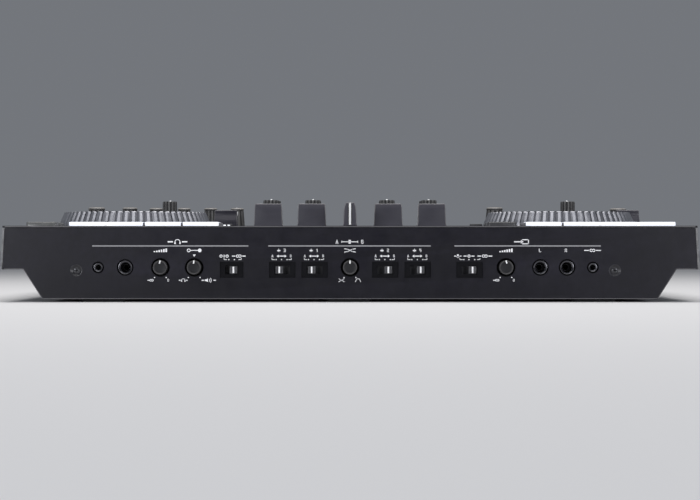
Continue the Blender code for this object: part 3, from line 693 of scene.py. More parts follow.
def make_jacks():
    """Sockets: a glossy collar with a wide inner chamfer, round a straight black mouth with two contacts."""
    for node in ("phones_jack", "aux_jack_left", "aux_jack_right", "phones_mini_jack", "aux_mini_jack"):
        is_mini = "mini" in node
        jack = Piece(on_front(MIDDLE_X[node], KNOB_ROW))
        jack.turned(MINI_COLLAR if is_mini else LARGE_COLLAR, COLLAR_NICKEL, count=56, ring=True)
        jack.turned(MINI_BORE if is_mini else LARGE_BORE, SLOT_BLACK_AND_SHADE, count=56, ring=True)
        inner = 1.55 if is_mini else 3.05
        outer = inner + 0.3
        for depth in (-12, -14) if is_mini else (-13, -18):
            contact = [(inner, depth), (inner, depth - 0.8), (outer, depth - 0.8), (outer, depth)]
            jack.turned(contact, SCREW_STEEL, count=32, ring=True)
        jack.stand_for(node, "_socket", "socket_black")


def make_front_knobs():
    """Round knobs: a ribbed skirt, a raised rim and a dished face with a short pointer."""
    skirt = [
        (3, -12), (3, -8), (7.0, -8), (7.3, -7.8), (7.3, 4.2), (7.2, 5.1), (6.95, 5.75), (6.6, 5.95),
        (6.35, 5.85), (5.6, 5.1), (5.4, 4.4),
    ]
    face = [(5.55, 4.4), (5.6, 5.08), (5.0, 4.85), (3.0, 4.7), (0.5, 4.65)]
    for node, lean in FRONT_KNOB_LEANS.items():
        knob = Piece(on_front(MIDDLE_X[node], KNOB_ROW))
        knob.turned(skirt, KNOB_RUBBER, count=96, wave=grooves(24, 0.2), waved=(4, 5))
        knob.turned(face, KNOB_FACE)
        tilt = at(0, 5.55, 0) @ spin(math.radians(lean))
        knob.slab(0.65, 1.65, 0.3, [(0, 4.4), (0, 6.0)], POINTER_WHITE, tilt)
        knob.stand_for(node, "_cap", "knob_black", node, own_origin=True)


def make_knob_wells():
    """The dark rings that the front knobs sit in."""
    wells = Piece()
    tube = [(8.4, -3.4), (11.0, -3.4), (11.0, -13), (3.6, -13), (3.6, -11.5), (8.4, -11.5)]
    for node in FRONT_KNOB_LEANS:
        wells.turned(tube, SLOT_BLACK_AND_SHADE, on_front(MIDDLE_X[node], KNOB_ROW), 40, ring=True)
    wells.build("knob_wells", "root", "panel_black")


def make_switches():
    """Ribbed slide caps with a white line."""
    for node in SWITCH_NODES:
        centre, half = measure(node)[:2]
        cap = Piece(on_front(centre.x, centre.z))
        levels = [(1.2, -9), (1.2, -4.2), (0.1, -4), (0, -3.8), (0, -1.0), (0.25, -0.85)]
        cap.slab(half.x, 3.75, 0.5, levels, SWITCH_PLASTIC)
        for x in (-2.95, -1.6, 1.6, 2.95):
            cap.slab(0.42, 3.4, 0.2, [(0, -1.2), (0, -0.45), (0.2, -0.22)], SWITCH_PLASTIC, at(x, 0, 0))
        cap.slab(0.85, 3.3, 0.2, [(0, -1.2), (0, -0.45), (0.15, -0.28)], POINTER_WHITE)
        cap.stand_for(node, "_cap", "switch_grey", node)


def make_switch_bodies():
    """A dark plate in each switch's recess, and behind it the housing that closes the slot."""
    for node in SWITCH_NODES:
        is_split = "split" in node
        travel = 1.9 if is_split else 3.1
        rests_left = node in ("assign_switch_3", "assign_switch_1")
        housing = Piece(on_front(MIDDLE_X[node] + (travel if rests_left else -travel), SWITCH_ROW))
        outer = (12.0, 8.05) if is_split else (13.35, 8.05)
        inner = (6.6, 4.7) if is_split else (7.9, 4.7)
        tube = (inner[0] + 0.15, inner[1] + 0.15)
        wall = (tube[0] + 1.2, tube[1] + 1.2)
        plate = ((outer, -1.5), (outer, -1.2), (inner, -1.2), (inner, -1.5))
        sleeve = ((tube, -3.4), (wall, -3.4), (wall, -10.6), (tube, -10.6))
        for levels, material in ((plate, RECESS_BLACK), (sleeve, WELL_BLACK)):
            loops = [rounded_rectangle(*half, 0.4, height) for half, height in levels]
            housing.loft(loops, material, ring=True)
        housing.slab(*wall, 0.4, [(0, -10.6), (0, -16)], WELL_BLACK)
        housing.build(node + "_housing", "root", "socket_black")


def draw_painted_edge_highlights(ink):
    """Thin lighter lines of painted highlight along the edges: under the deck's edge, along the base and up
    the slants.
    """
    ink.bar(0, 77.2, 706, 0.95, EDGE_HIGHLIGHT_PAINT)
    ink.bar(0, 3.55, 628.4, 0.75, EDGE_HIGHLIGHT_PAINT)
    for sign in (-1, 1):
        ink.line([(sign * 314.6, 3.9), (sign * 333.7, 33.7)], 0.75, EDGE_HIGHLIGHT_PAINT)
        ink.line([(sign * 334.0, 33.85), (sign * 353.0, 33.85)], 0.75, EDGE_HIGHLIGHT_PAINT)


def draw_headphones(ink, x, z, size=1.0):
    ink.arc(x, z - 0.3 * size, 2.6 * size, -10, 190, 0.75 * size)
    ink.bars(x, 2.55 * size, z - 1.1 * size, 1.5 * size, 2.4 * size)


def draw_crossfader(ink, x, z):
    """A track with a cap on it, between the two sides' letters."""
    ink.glyph("A", x - 13, z, 3.5)
    ink.glyph("B", x + 13, z, 3.5)
    ink.bar(x, z, 17, 0.7)
    ink.bar(x, z, 2.4, 3.8)
    ink.bars(x, 8.2, z, 0.7, 2.2)


def draw_line_in(ink, x, z):
    """An arrow into a box."""
    ink.line([(x - 8.0, z), (x - 0.6, z)], 1.0)
    ink.polygon([(x - 1.6, z - 1.9), (x + 1.3, z), (x - 1.6, z + 1.9)])
    ink.line([(x + 0.2, z + 2.1), (x + 6.2, z + 2.1), (x + 6.2, z - 2.1), (x + 0.2, z - 2.1)], 0.9)


def draw_balance(ink, x, z):
    """A ring and a dot joined by a line: from one source to the other."""
    ink.ring(x - 5.6, z, 1.5, 0.8)
    ink.bar(x, z, 7.6, 0.8)
    ink.dot(x + 5.6, z, 1.9, 16)


def draw_speaker(ink, x, z):
    outline = ((-4.4, -0.8), (-3.0, -0.8), (-1.2, -1.9), (-1.2, 1.9), (-3.0, 0.8), (-4.4, 0.8))
    ink.polygon([(x + u, z + v) for u, v in outline])
    for reach in (2.0, 3.6):
        ink.arc(x - 1.4, z, reach, -42, 42, 0.6, 6)


def draw_wedge(ink, x, z):
    """A level wedge in rising bars."""
    for i in range(6):
        height = 1.1 + 0.52 * i
        ink.bar(x - 6.0 + 2.4 * i, z - 1.8 + height / 2, 1.55, height)


def draw_stereo(ink, x, z, width):
    """Two linked rings with a dash on each side."""
    for ring_x in (x - 1.3, x + 1.3):
        ink.ring(ring_x, z, 1.25, 0.7)
    ink.bars(x, width / 4 + 1.7, z, width / 2 - 3.8, 0.95)


def draw_small_fader(ink, x, z):
    """A vertical track with a cap."""
    ink.bar(x, z, 0.7, 3.2)
    ink.bar(x, z - 0.2, 3.4, 1.2)


# One side of a pair of fade curves, which the other mirrors.
CROSSING = ((5.5, -1.7), (2.2, -1.1), (-2.2, 1.1), (-5.5, 1.7))
GENTLE = ((2.6, -1.5), (0.9, -0.4), (-0.9, 0.4), (-2.6, 1.5))
SHARP = ((2.6, -1.5), (1.5, 1.2), (0.2, 1.5))


def draw_curve(ink, x, z, curve, width=0.55):
    for sign in (-1, 1):
        ink.line([(x + sign * u, z + v) for u, v in curve], width)


def draw_microphone(ink, x, z):
    outline = ((-0.9, 0), (0.9, 0), (0.9, 1.5), (0.5, 1.9), (-0.5, 1.9), (-0.9, 1.5))
    ink.polygon([(x + u, z + v) for u, v in outline])
    ink.arc(x, z + 0.2, 1.6, 190, 350, 0.45, 8)
    ink.bar(x, z - 1.7, 0.5, 0.9)


def draw_ticks(ink, x, z, ends, dots):
    """A bracket over a switch with one dot for each position."""
    for end, inward in zip(ends, (1, -1)):
        ink.line([(x + end, z + 1.1), (x + end, z), (x + end + inward * 2.6, z)], 0.6)
    for dot in dots:
        ink.dot(x + dot, z, 0.62, 10)


TITLE_Z, LINE_Z, LABEL_Z, SMALL_Z, TICK_Z, SCALE_Z = 61.6, 57.35, 52.8, 47.0, 43.4, 22.3


def print_assign_switches(ink):
    for channel, x in (("3", -69.9), ("1", -36.8), ("2", 35.6), ("4", 68.8)):
        draw_small_fader(ink, x - 2.9, LABEL_Z)
        ink.glyph(channel, x + 3.2, LABEL_Z, 2.8)
        ink.glyph("A", x - 9.4, SMALL_Z + 0.2, 2.4)
        ink.glyph("B", x + 9.4, SMALL_Z + 0.2, 2.4)
        ink.bar(x, SMALL_Z, 7.0, 0.9)
        for sign in (-1, 1):
            tip = x + sign * 5.2
            base = tip - sign * 2.2
            ink.polygon([(tip, SMALL_Z), (base, SMALL_Z + 1.5), (base, SMALL_Z - 1.5)][::-sign])
        draw_ticks(ink, x, TICK_Z, (-9.9, 9.9), (-5.6, 0, 5.6))


def print_side_switches(ink, split_x, mode_x):
    """Mono or stereo at the headphones' switch; microphone, mono or stereo at the auxiliary one."""
    for x in (split_x - 10.9, split_x - 4.7, mode_x):
        ink.ring(x, SMALL_Z, 1.2, 0.75)
    ink.bar(split_x - 7.8, SMALL_Z, 0.8, 2.9)
    draw_stereo(ink, split_x + 7.2, SMALL_Z, 14.5)
    draw_ticks(ink, split_x + 0.5, TICK_Z, (-8.3, 9.3), (-3.4, 2.2))
    draw_microphone(ink, mode_x - 11.4, SMALL_Z)
    ink.bars(mode_x - 11.4, 2.9, SMALL_Z, 1.6, 0.9)
    ink.bars(mode_x, 4.0, SMALL_Z, 3.2, 0.9)
    draw_stereo(ink, mode_x + 16.2, SMALL_Z, 15.5)
    draw_ticks(ink, mode_x, TICK_Z, (-9.4, 11.2), (-5.2, 0, 5.8))


def print_knob_labels(ink):
    level_x, mix_x, curve_x, aux_x = (MIDDLE_X[node] for node in FRONT_KNOB_LEANS)
    for x in (level_x, aux_x):
        draw_wedge(ink, x, LABEL_Z)
        ink.bar(x - 12.2, SCALE_Z, 2.0, 0.8)
        for ring_x in (x - 9.9, x - 8.1):
            ink.ring(ring_x, SCALE_Z, 0.9, 0.65, 14)
        ink.glyph("0", x + 8.0, SCALE_Z, 2.2)
    draw_balance(ink, mix_x, LABEL_Z)
    ink.polygon([(mix_x - 1.5, 48.6), (mix_x, 46.2), (mix_x + 1.5, 48.6)])
    draw_curve(ink, curve_x, LABEL_Z, CROSSING, 0.7)
    for x in (level_x, mix_x, curve_x, aux_x):
        for sign in (-1, 1):
            ink.dot(x + 6.0 * sign, 25.1, 0.65, 10)
    draw_headphones(ink, mix_x - 11.2, SCALE_Z, 0.68)
    ink.bars(mix_x - 11.2, 3.6, SCALE_Z, 1.8, 0.9)
    draw_speaker(ink, mix_x + 15.2, SCALE_Z)
    ink.bars(mix_x + 14.9, 6.1, SCALE_Z, 2.6, 0.9)
    draw_curve(ink, -8.7, SCALE_Z, GENTLE)
    draw_curve(ink, 8.2, SCALE_Z, SHARP)


def print_front_panel():
    """Lines, numerals and small pictures in place of the panel's words."""
    ink = Print(on_front(0, 0))
    for left, right in ((-263.5, -103.9), (-83.7, 82.5), (106.7, 256.2)):
        ink.bar((left + right) / 2, LINE_Z, right - left, 1.15, GREY_INK)
    draw_painted_edge_highlights(ink)
    draw_headphones(ink, -176.3, TITLE_Z)
    ink.bars(-176.3, 7.3, TITLE_Z, 5.4, 1.3)
    draw_crossfader(ink, -0.3, TITLE_Z)
    draw_line_in(ink, 176.2, TITLE_Z)
    print_assign_switches(ink)
    print_side_switches(ink, -120.9, 121.6)
    print_knob_labels(ink)
    ink.glyph("L", 194.2, LABEL_Z, 2.9)
    ink.glyph("R", 220.6, LABEL_Z, 2.9)
    draw_stereo(ink, 247.8, LABEL_Z, 17.5)
    ink.build("front_panel_print", slot="panel_black")


# The jog wheels.

JOG_RIBS = 64
JOG_MARKS = 72


def above(top, steps):
    """Profile steps whose heights count from a part's top."""
    return [(reach, top + height) for reach, height in steps]


def make_jog_wheels():
    """A ribbed metal ring round a dark grooved face with a display in the middle."""
    count = JOG_RIBS * 8
    for side in SIDES:
        body = f"jog_platter_{side}"
        place = on_deck(JOG[side].x, JOG[side].y)
        top = measure(body)[2]
        ring = [(81.4, 0.8), (83.8, 0.8), (84.3, 1.2), (84.3, 2.5), (83.5, 5.8), (81.4, 10.6), (79.5, 14.8)]
        ring += above(top, [
            (78.9, -0.5), (78.5, -0.12), (77.6, 0), (75.6, -0.15), (74.8, -0.9), (74.8, -3.6), (78.3, -3.6),
        ])
        face = [(10.45, -12), (16, -12)] + above(top, [
            (16, -3.6), (74.7, -3.6), (74.7, -1.2), (74.2, -0.8), (30.2, -0.8), (29.6, -0.8), (29.2, -1.3),
            (10.45, -1.4),
        ])
        glass = above(top, [
            (0.5, -4.7), (0.5, -0.55), (28.4, -0.65), (29.1, -0.9), (29.1, -1.25), (10.4, -1.35),
            (10.4, -4.7),
        ])
        rim = Piece(place)
        rim.turned(ring, JOG_METAL, HERE, count, flat_grooves(JOG_RIBS, 1.5), range(3, 9), ring=True)
        # The groove floors take the darker metal: painted shade in the grooves.
        rim.stripe(0, range(3, 8), count, (3,), JOG_GROOVE_SHADE)
        rim.build(f"jog_rim_{side}", body, "jog_silver", [body], own_origin=True)
        disc = Piece(place)
        disc.turned(face, VINYL, count=96, ring=True)
        disc.build(f"jog_face_{side}", body, "knob_black", own_origin=True)
        window = Piece(place)
        window.turned(glass, DISPLAY, count=72)
        window.build(f"jog_display_{side}", body, "socket_black", own_origin=True)
        marks = Print(place @ at(0, 0, top - 0.8))
        for i in range(JOG_MARKS):
            marks.dot(*polar(71.2, 2 * math.pi * i / JOG_MARKS), 0.55, 8, GREY_INK)
        marks.line([(0, 31.5), (0, 40)], 1.6)
        marks.ring(0, 0, 31.6, 0.5, 72, GREY_INK)
        marks.build(f"jog_marks_{side}", body, "jog_silver")


def make_jog_collars():
    """A low dark ring on the deck round each jog wheel."""
    profile = [(84.9, 0.0), (88.4, 0.0), (88.4, 0.35), (87.8, 0.6), (85.4, 0.6), (84.9, 0.35)]
    for side in SIDES:
        collar = Piece(on_deck(JOG[side].x, JOG[side].y))
        collar.turned(profile, SOCKET_PLASTIC, count=128, ring=True)
        collar.build(f"jog_collar_{side}", "root", "deck_black")


# Pads and keys.

PAD_PITCH = (39.4, 33)
SHEET_TOP = -2.4  # from the deck
PAD_WALL_SHADE_WITHIN = 260  # side walls of lit pads nearer the middle than this take the unlit silicone: painted shade in the gaps


def make_pads():
    """A sheet and eight pads a deck: the near row is lit and the far row isn't."""
    for side in SIDES:
        node = f"pad_mat_{side}"
        centre, half, top = measure(node)
        mat = Piece()
        sheet = [(0, SHEET_TOP - 2.2), (0, SHEET_TOP)]
        mat.slab(half.x, half.y, 3, sheet, FOOT_RUBBER, on_deck(centre.x, centre.y))
        levels = [(0, SHEET_TOP - 0.4)] + above(top, [(0, -1.1), (0.15, -0.5), (0.5, -0.13), (1.2, 0)])
        for row, material in ((-0.5, PADS), (0.5, DIM_SILICONE_AND_WALL_SHADE)):
            for column in (-1.5, -0.5, 0.5, 1.5):
                x = centre.x + column * PAD_PITCH[0]
                start = len(mat.bm.faces)
                mat.slab(18.65, 15, 2.0, levels, material, on_deck(x, centre.y + row * PAD_PITCH[1]))
                mat.bm.faces.ensure_lookup_table()
                dim = mat.index_of(DIM_SILICONE_AND_WALL_SHADE)
                for face in list(mat.bm.faces)[start:]:
                    # Side walls of lit pads near the middle take the unlit silicone: painted shade in the gaps
                    # between pads.
                    if abs(face.normal.x) > 0.95 and abs(x) < PAD_WALL_SHADE_WITHIN:
                        face.material_index = dim
        mat.build(f"pads_{side}", "root", "pad_white", [node])


def make_transport_keys():
    """Square keys with a softly sunk face and a lit sign: play at the front of each pair, cue behind it."""
    for side in SIDES:
        for kind in ("play", "cue"):
            node = f"{kind}_button_{side}"
            centre, top = middle(node), measure(node)[2]
            key = Piece(on_deck(centre.x, centre.y))
            key.slab(16.1, 16.1, 2, [(0, -4.5), (0, -2.6)], SLOT_BLACK_AND_SHADE)
            levels = [(0, -2.8)]
            levels += above(top, [(0, -0.9), (0.2, -0.4), (0.55, -0.08), (1.0, 0), (2.2, -0.12), (9, -0.3)])
            # The left deck's keys take the lighter copy and the right deck's the darker one: painted light and
            # painted shade.
            key.slab(15, 15, 2.2, levels, KEY_PLASTIC_PAINTED_LIGHT if side == "left" else KEY_PLASTIC_PAINTED_SHADE)
            key.stand_for(node, "_key", "button_grey", node, own_origin=True)
            icon = Print(on_deck(centre.x, centre.y) @ at(0, 0, top - 0.3))
            if kind == "play":
                icon.polygon([(-4.5, -3), (-0.5, 0), (-4.5, 3)], WHITE_LAMP)
                icon.bar(1.6, 0, 1.3, 6, WHITE_LAMP)
                icon.bar(4.2, 0, 1.3, 6, WHITE_LAMP)
            else:
                icon.ring(0, 0, 4.2, 1.0, 32, AMBER_LAMP)
                icon.dot(0, 0, 1.3, material=AMBER_LAMP)
            icon.build(f"{node}_icon", node, "button_grey")


# Faders.


def add_cap(piece, steps):
    """A fader cap of (half width, half length, height) steps, with painted highlight on its corners and
    sloping shoulders, and its stem.
    """
    piece.loft([rounded_rectangle(x, y, 0.8, z) for x, y, z in steps], CAP_PLASTIC)
    edge = piece.index_of(CAP_EDGE_HIGHLIGHT)
    # Faces at the corners and on the sloping shoulders take the lighter plastic: painted highlight.
    for face in piece.bm.faces:
        normal = face.normal
        if min(abs(normal.x), abs(normal.y)) > 0.2 or 0.5 < normal.z < 0.97:
            face.material_index = edge
    piece.slab(1.2, 4, 0.3, [(0, -5.6), (0, 1.0)], NICKEL)


def wrap_line(piece, steps, half_width, material, proud):
    """A line along a cap's long way: up one end, over the top and down the other."""
    depth = 0.8
    side = [(x + proud, z) for x, z in steps]
    inner = [(x - depth, z) for x, z in steps]
    side[-1] = (steps[-1][0] - 0.3, steps[-1][1] + proud)
    inner[-1] = (steps[-1][0] - depth, steps[-1][1] - depth)
    section = [(-x, z) for x, z in side] + side[::-1] + inner + [(-x, z) for x, z in inner[::-1]]
    piece.loft([[Vector((x, y, z)) for x, z in section] for y in (-half_width, half_width)], material)


def make_mixer_caps():
    """Caps with a flared foot, a rounded shoulder on the long sides and a white line on a black one."""
    for node in [f"channel_fader_{channel}" for channel in CHANNELS] + ["crossfader"]:
        centre, top = middle(node), measure(node)[2]
        top -= 0.1
        place = on_deck(centre.x, centre.y)
        if node == "crossfader":
            place = place @ spin(math.pi / 2)
        cap = Piece(place)
        add_cap(cap, [
            (15.6, 7.3, 0.8), (15.6, 7.3, 1.9), (15.3, 7.15, 2.7), (15.05, 6.9, 3.6), (14.85, 6.75, 10),
            (14.55, 6.35, 17.5), (14.45, 5.95, top - 4.9), (14.35, 5.35, top - 2.8), (14.25, 4.85, top - 1.1),
            (14.15, 4.65, top - 0.55), (13.85, 4.4, top - 0.15), (13.3, 3.9, top),
        ])
        path = [(15.6, 1.6), (15.25, 2.8), (14.85, 10), (14.55, 17.5)]
        path += above(top, [(14.45, -4.9), (14.25, -1.1), (13.4, 0)])
        wrap_line(cap, path, 2.0, SLOT_BLACK_AND_SHADE, 0.04)
        wrap_line(cap, path, 1.15, POINTER_WHITE, 0.14)
        cap.stand_for(node, "_cap", "fader_black", node, own_origin=True)


def make_tempo_caps():
    """Wider caps with a hollowed front and rear and a white line across."""
    for side in SIDES:
        node = f"tempo_fader_{side}"
        centre, top = middle(node), measure(node)[2]
        cap = Piece(on_deck(centre.x, centre.y))
        add_cap(cap, [
            (13.5, 8.5, 0.8), (13.5, 8.5, 9.6), (13.4, 8.3, 10.6), (13.2, 6.0, 15.2), (13.1, 5.5, 16.2),
            (13.0, 5.4, 17.5), (12.95, 5.7, 19.6), (12.9, 6.2, top - 0.9), (12.8, 6.15, top - 0.35),
            (12.4, 5.8, top - 0.05), (11.8, 5.2, top),
        ])
        cap.slab(12.2, 0.6, 0.2, [(0, top - 1), (0, top + 0.02)], POINTER_WHITE)
        cap.stand_for(node, "_cap", "fader_black", node, own_origin=True)


def make_fader_slots():
    """Raised lips round the slots."""
    lips = Piece()
    slots = []
    for channel in CHANNELS:
        slots.append((CHANNEL_X[channel], middle(f"channel_fader_{channel}").y + 22.5, 2.0, 27.5))
    for side in SIDES:
        centre = middle(f"tempo_fader_{side}")
        slots.append((centre.x, centre.y, 2.0, 50))
    slots.append((0, middle("crossfader").y, 27.5, 2.0))
    levels = [(0.0, -0.4), (0.0, 0.25), (-0.3, 0.4), (-1.5, 0.4), (-1.8, 0.25), (-1.8, 0.0), (-1.8, -0.4)]
    for x, y, half_x, half_y in slots:
        lips.slab(half_x, half_y, 0.5, levels, SOCKET_PLASTIC, on_deck(x, y), ring=True, follow=1)
    lips.build("fader_slot_lips", "root", "deck_black")


# Knobs of the deck.

KNOB_FLARE = 1.18  # the width of a rimmed knob's foot, in widths of its rim
POINTER_TURNS = {"mic_knob_1": 0.3, "mic_knob_2": -0.4, "mic_knob_3": 0.1, "mic_knob_4": math.pi - 0.05}
FILTER_DEPTH = 158
EQUALISER_ROWS = {194: (8.5, 31.8), 230: (8.1, 32.8), 266: (7.0, 33.8), 300: (5.6, 34.6)}


def add_fluted(piece, profile, material, flutes, depth, striped, place):
    """A turned body with flutes in its rings 5 to 7, with painted highlight on the ridges and painted shade in
    the grooves.
    """
    start = len(piece.bm.faces)
    piece.turned(profile, material, place, flutes * 8, grooves(flutes, depth), (5, 6, 7))
    piece.stripe(start, striped, flutes * 8, (7, 0), KNOB_RIDGE_HIGHLIGHT)
    piece.stripe(start, striped, flutes * 8, (3, 4), KNOB_GROOVE_SHADE)


def add_tall_knob(piece, radius, height, place=HERE, raised_tip=True):
    """A tall fluted knob with a white pointer; the tip of a raised one stands up at the back of its top."""
    top = height - 1.25
    profile = [(3, -7.6), (3, 0.9), (radius - 0.3, 0.9), (radius, 1.3), (radius, 3.0), (radius - 0.1, 3.6)]
    shoulder = ((0.25, 2.2), (0.35, 0.8), (0.75, 0.2), (1.4, 0.05))
    profile += [(radius - inset, top - drop) for inset, drop in shoulder]
    add_fluted(piece, profile + [(0.5, top)], KNOB_RUBBER, 12, 0.75, (5, 6, 7), place)
    tip = radius - 0.4
    levels = [(0, top - 0.8), (0, top + 0.35), (0.15, top + 0.5)]
    piece.slab(0.8, (tip + 0.5) / 2, 0.3, levels, POINTER_WHITE, place @ at(0, (tip - 0.5) / 2, 0))
    if raised_tip:
        levels = [(0, top - 12), (0, height - 0.2), (0.15, height)]
        piece.slab(0.95, 0.7, 0.25, levels, POINTER_WHITE, place @ at(0, tip - 0.45, 0))


def add_rimmed_knob(piece, radius, height, turn=None):
    """A knob with a pale domed rim over a fluted body that widens towards the deck."""
    low, high = 1.16 * radius, 0.97 * radius
    waist = (low + high) / 2
    body = [(3, -7.6), (3, 0.9), (low - 0.3, 0.9), (low, 1.4), (low - 0.15, 3.0), (waist, height / 2)]
    body += [(high - inset, height - drop) for inset, drop in ((0, 5.2), (0.2, 4.0), (0.5, 3.2))]
    add_fluted(piece, body, KNOB_BODY, 10, 0.7, (4, 5, 6), HERE)
    rim = [(-0.3, 3.6), (0, 3.1), (0, 1.9), (-0.35, 1.3), (-1.3, 0.75), (-3.2, 0.3), (-5.5, 0.06)]
    rim = [(high - 1.2, height - 3.9)] + [(radius + x, height - drop) for x, drop in rim] + [(0.5, height)]
    piece.turned(rim, KNOB_BODY, count=64)
    trim = ((-0.5, 1.95), (0.06, 1.9), (-0.28, 1.25), (-1.25, 0.68), (-1.9, 0.55), (-1.9, 0.9))
    piece.turned([(radius + x, height - drop) for x, drop in trim], KNOB_RIM, count=64, ring=True)
    if turn is None:
        return
    turned = spin(turn)
    loops = []
    section = ((-0.6, -1), (0.6, -1), (0.6, 0.3), (-0.6, 0.3))
    spine = ((0.6, low - 0.35, 3.0), (-0.3, waist - 0.2, height / 2), (-1.1, high - 0.2, height - 5.2))
    for x, y, z in spine:
        loops.append([Vector((x + u, y + v, z)) for u, v in section])
    piece.loft(loops, POINTER_WHITE, turned)
    levels = [(0, height - 2.4), (0, height - 0.2)]
    piece.slab(0.6, 1.5, 0.15, levels, POINTER_WHITE, turned @ at(0, radius - 2.6, 0))


def make_deck_knobs():
    tall = [f"parameter_knob_{side}" for side in SIDES] + [f"filter_knob_{channel}" for channel in CHANNELS]
    rimmed = [f"{kind}_encoder_{side}" for kind in ("loop", "effect") for side in SIDES]
    for node in tall + rimmed + list(POINTER_TURNS):
        centre, half, top = measure(node)
        knob = Piece(on_deck(centre.x, centre.y))
        if node in tall:
            add_tall_knob(knob, half.x, top)
        else:
            add_rimmed_knob(knob, half.x / KNOB_FLARE, top, POINTER_TURNS.get(node))
        knob.stand_for(node, "_cap", "knob_black", node, own_origin=True)


def make_equaliser_knobs():
    """Three equaliser knobs and a trim knob a channel, behind the filter knobs, each row a little taller."""
    knobs = Piece()
    for channel in CHANNELS:
        for depth, (radius, height) in EQUALISER_ROWS.items():
            add_tall_knob(knobs, radius, height, on_deck(CHANNEL_X[channel], FRONT + depth), raised_tip=False)
    knobs.build("equaliser_knobs", "root", "knob_black")


# Rows of small keys: x, depth from the front panel, keys in the row, step, half width, half depth, height,
# and whether the row runs back. x counts from the jog wheel on the decks.
DECK_KEY_ROWS = (
    (26.5, 282, 4, 18, 7, 3.2, 2.2, False),
    (-18, 309, 3, 17, 6, 5, 2.2, False),
    (60, 320, 2, 18, 6, 4, 2.2, True),
    (-84, 268, 2, 18, 8, 5, 2.0, True),
    (10, 352, 5, 21, 8, 4, 2.0, False),
    (94, 358, 2, 18, 7, 4, 2.0, True),
)
MIXER_KEY_ROWS = (
    (0, 300, 4, 16, 6.5, 5, 2.0, True),
    (-133.5, 98, 1, 1, 7, 5, 3.1, False),
    (135.5, 98, 1, 1, 6.5, 5, 3.2, False),
)


def make_small_keys():
    """Low keys of the decks and the mixer."""
    rows = [(JOG[side].x + x, *row) for side in SIDES for x, *row in DECK_KEY_ROWS]
    rows += [(CHANNEL_X[channel], 320, 1, 1, 8.5, 4.5, 2.2, False) for channel in CHANNELS]
    keys = Piece()
    for x, depth, count, step, half_x, half_y, height, runs_back in rows + list(MIXER_KEY_ROWS):
        levels = [(0, -0.1), (0, height - 0.5), (0.25, height - 0.12), (0.7, height)]
        for i in range(count):
            offset = (i - (count - 1) / 2) * step
            px, py = (x, depth + offset) if runs_back else (x + offset, depth)
            keys.slab(half_x, half_y, 1.0, levels, SMALL_KEY, on_deck(px, FRONT + py))
    keys.build("small_keys", "root", "button_grey")


def make_lamps():
    """Level meters flush in the deck, and two lit marks by the left deck's front key."""
    lamps = Print(on_deck(0, FRONT))
    for channel in CHANNELS:
        x = CHANNEL_X[channel]
        for i in range(12):
            material = AMBER_LAMP if i > 9 else GREEN_LAMP
            lamps.bar(x + (15.5 if x < 0 else -15.5), 196 + 7.2 * i, 2.4, 4.6, material)
    lamps.build("level_meters", slot="socket_black")
    marks = Piece()
    for x in (-134.6, -130.2):
        marks.slab(1.3, 0.5, 0.3, [(0, 0.4), (0, 1.9), (0.2, 2.2)], WHITE_LAMP, on_deck(x, FRONT + 92.8))
    marks.build("lit_key_marks", "root", "pad_white")


def draw_knob_scale(ink, x, depth, reach):
    """Eleven dots over 300 degrees, with white ones at the ends and in the middle."""
    for i in range(11):
        u, v = polar(reach, math.radians(-60 + 30 * i))
        ink.dot(x + u, depth + v, 0.45, 8, INK if i in (0, 5, 10) else GREY_INK)


def print_deck():
    """Section lines, knob scales and fader scales on the top panel."""
    ink = Print(on_deck(0, FRONT))
    scales = [(f"mic_knob_{number}", 11) for number in (1, 2, 3, 4)]
    for side in SIDES:
        x = JOG[side].x
        ink.bar(x + 8, 337, 172, 0.6, GREY_INK)
        ink.bar(x - 8, 270, 60, 0.6, GREY_INK)
        tempo_x = MIDDLE_X[f"tempo_fader_{side}"]
        for i in range(-9, 10):
            width = 4.5 if i % 3 == 0 else 2.6
            ink.bars(tempo_x, 4.6 + width / 2, 290 + 5 * i, width, 0.5, GREY_INK if i else INK)
        ink.glyph("-", tempo_x - 11, 337, 3)
        ink.glyph("+", tempo_x - 11, 243, 3)
        scales += [(f"{kind}_{side}", 12.2) for kind in ("parameter_knob", "loop_encoder", "effect_encoder")]
    for node, reach in scales:
        draw_knob_scale(ink, MIDDLE_X[node], middle(node).y - FRONT, reach)
    for channel in CHANNELS:
        x = CHANNEL_X[channel]
        for i in range(10):
            width = 5 if i % 3 == 0 else 3
            ink.bars(x, 4.6 + width / 2, 92 + 5 * i, width, 0.45, GREY_INK)
        ink.glyph(channel, x, 333, 4)
        for depth in (FILTER_DEPTH, *EQUALISER_ROWS):
            draw_knob_scale(ink, x, depth, 11.6)
    for i in range(-4, 5):
        ink.bar(5.6 * i, 66, 0.5, 3 if i % 4 == 0 else 1.8, GREY_INK)
    ink.glyph("A", -33, 52, 4)
    ink.glyph("B", 33, 52, 4)
    for x in (-110, 110):
        ink.bar(x, 262, 0.6, 205, GREY_INK)
    ink.build("deck_print")


# The rear panel.

PORT_Z = 35
BALANCED_X = (96, 128)
POWER_X = 268


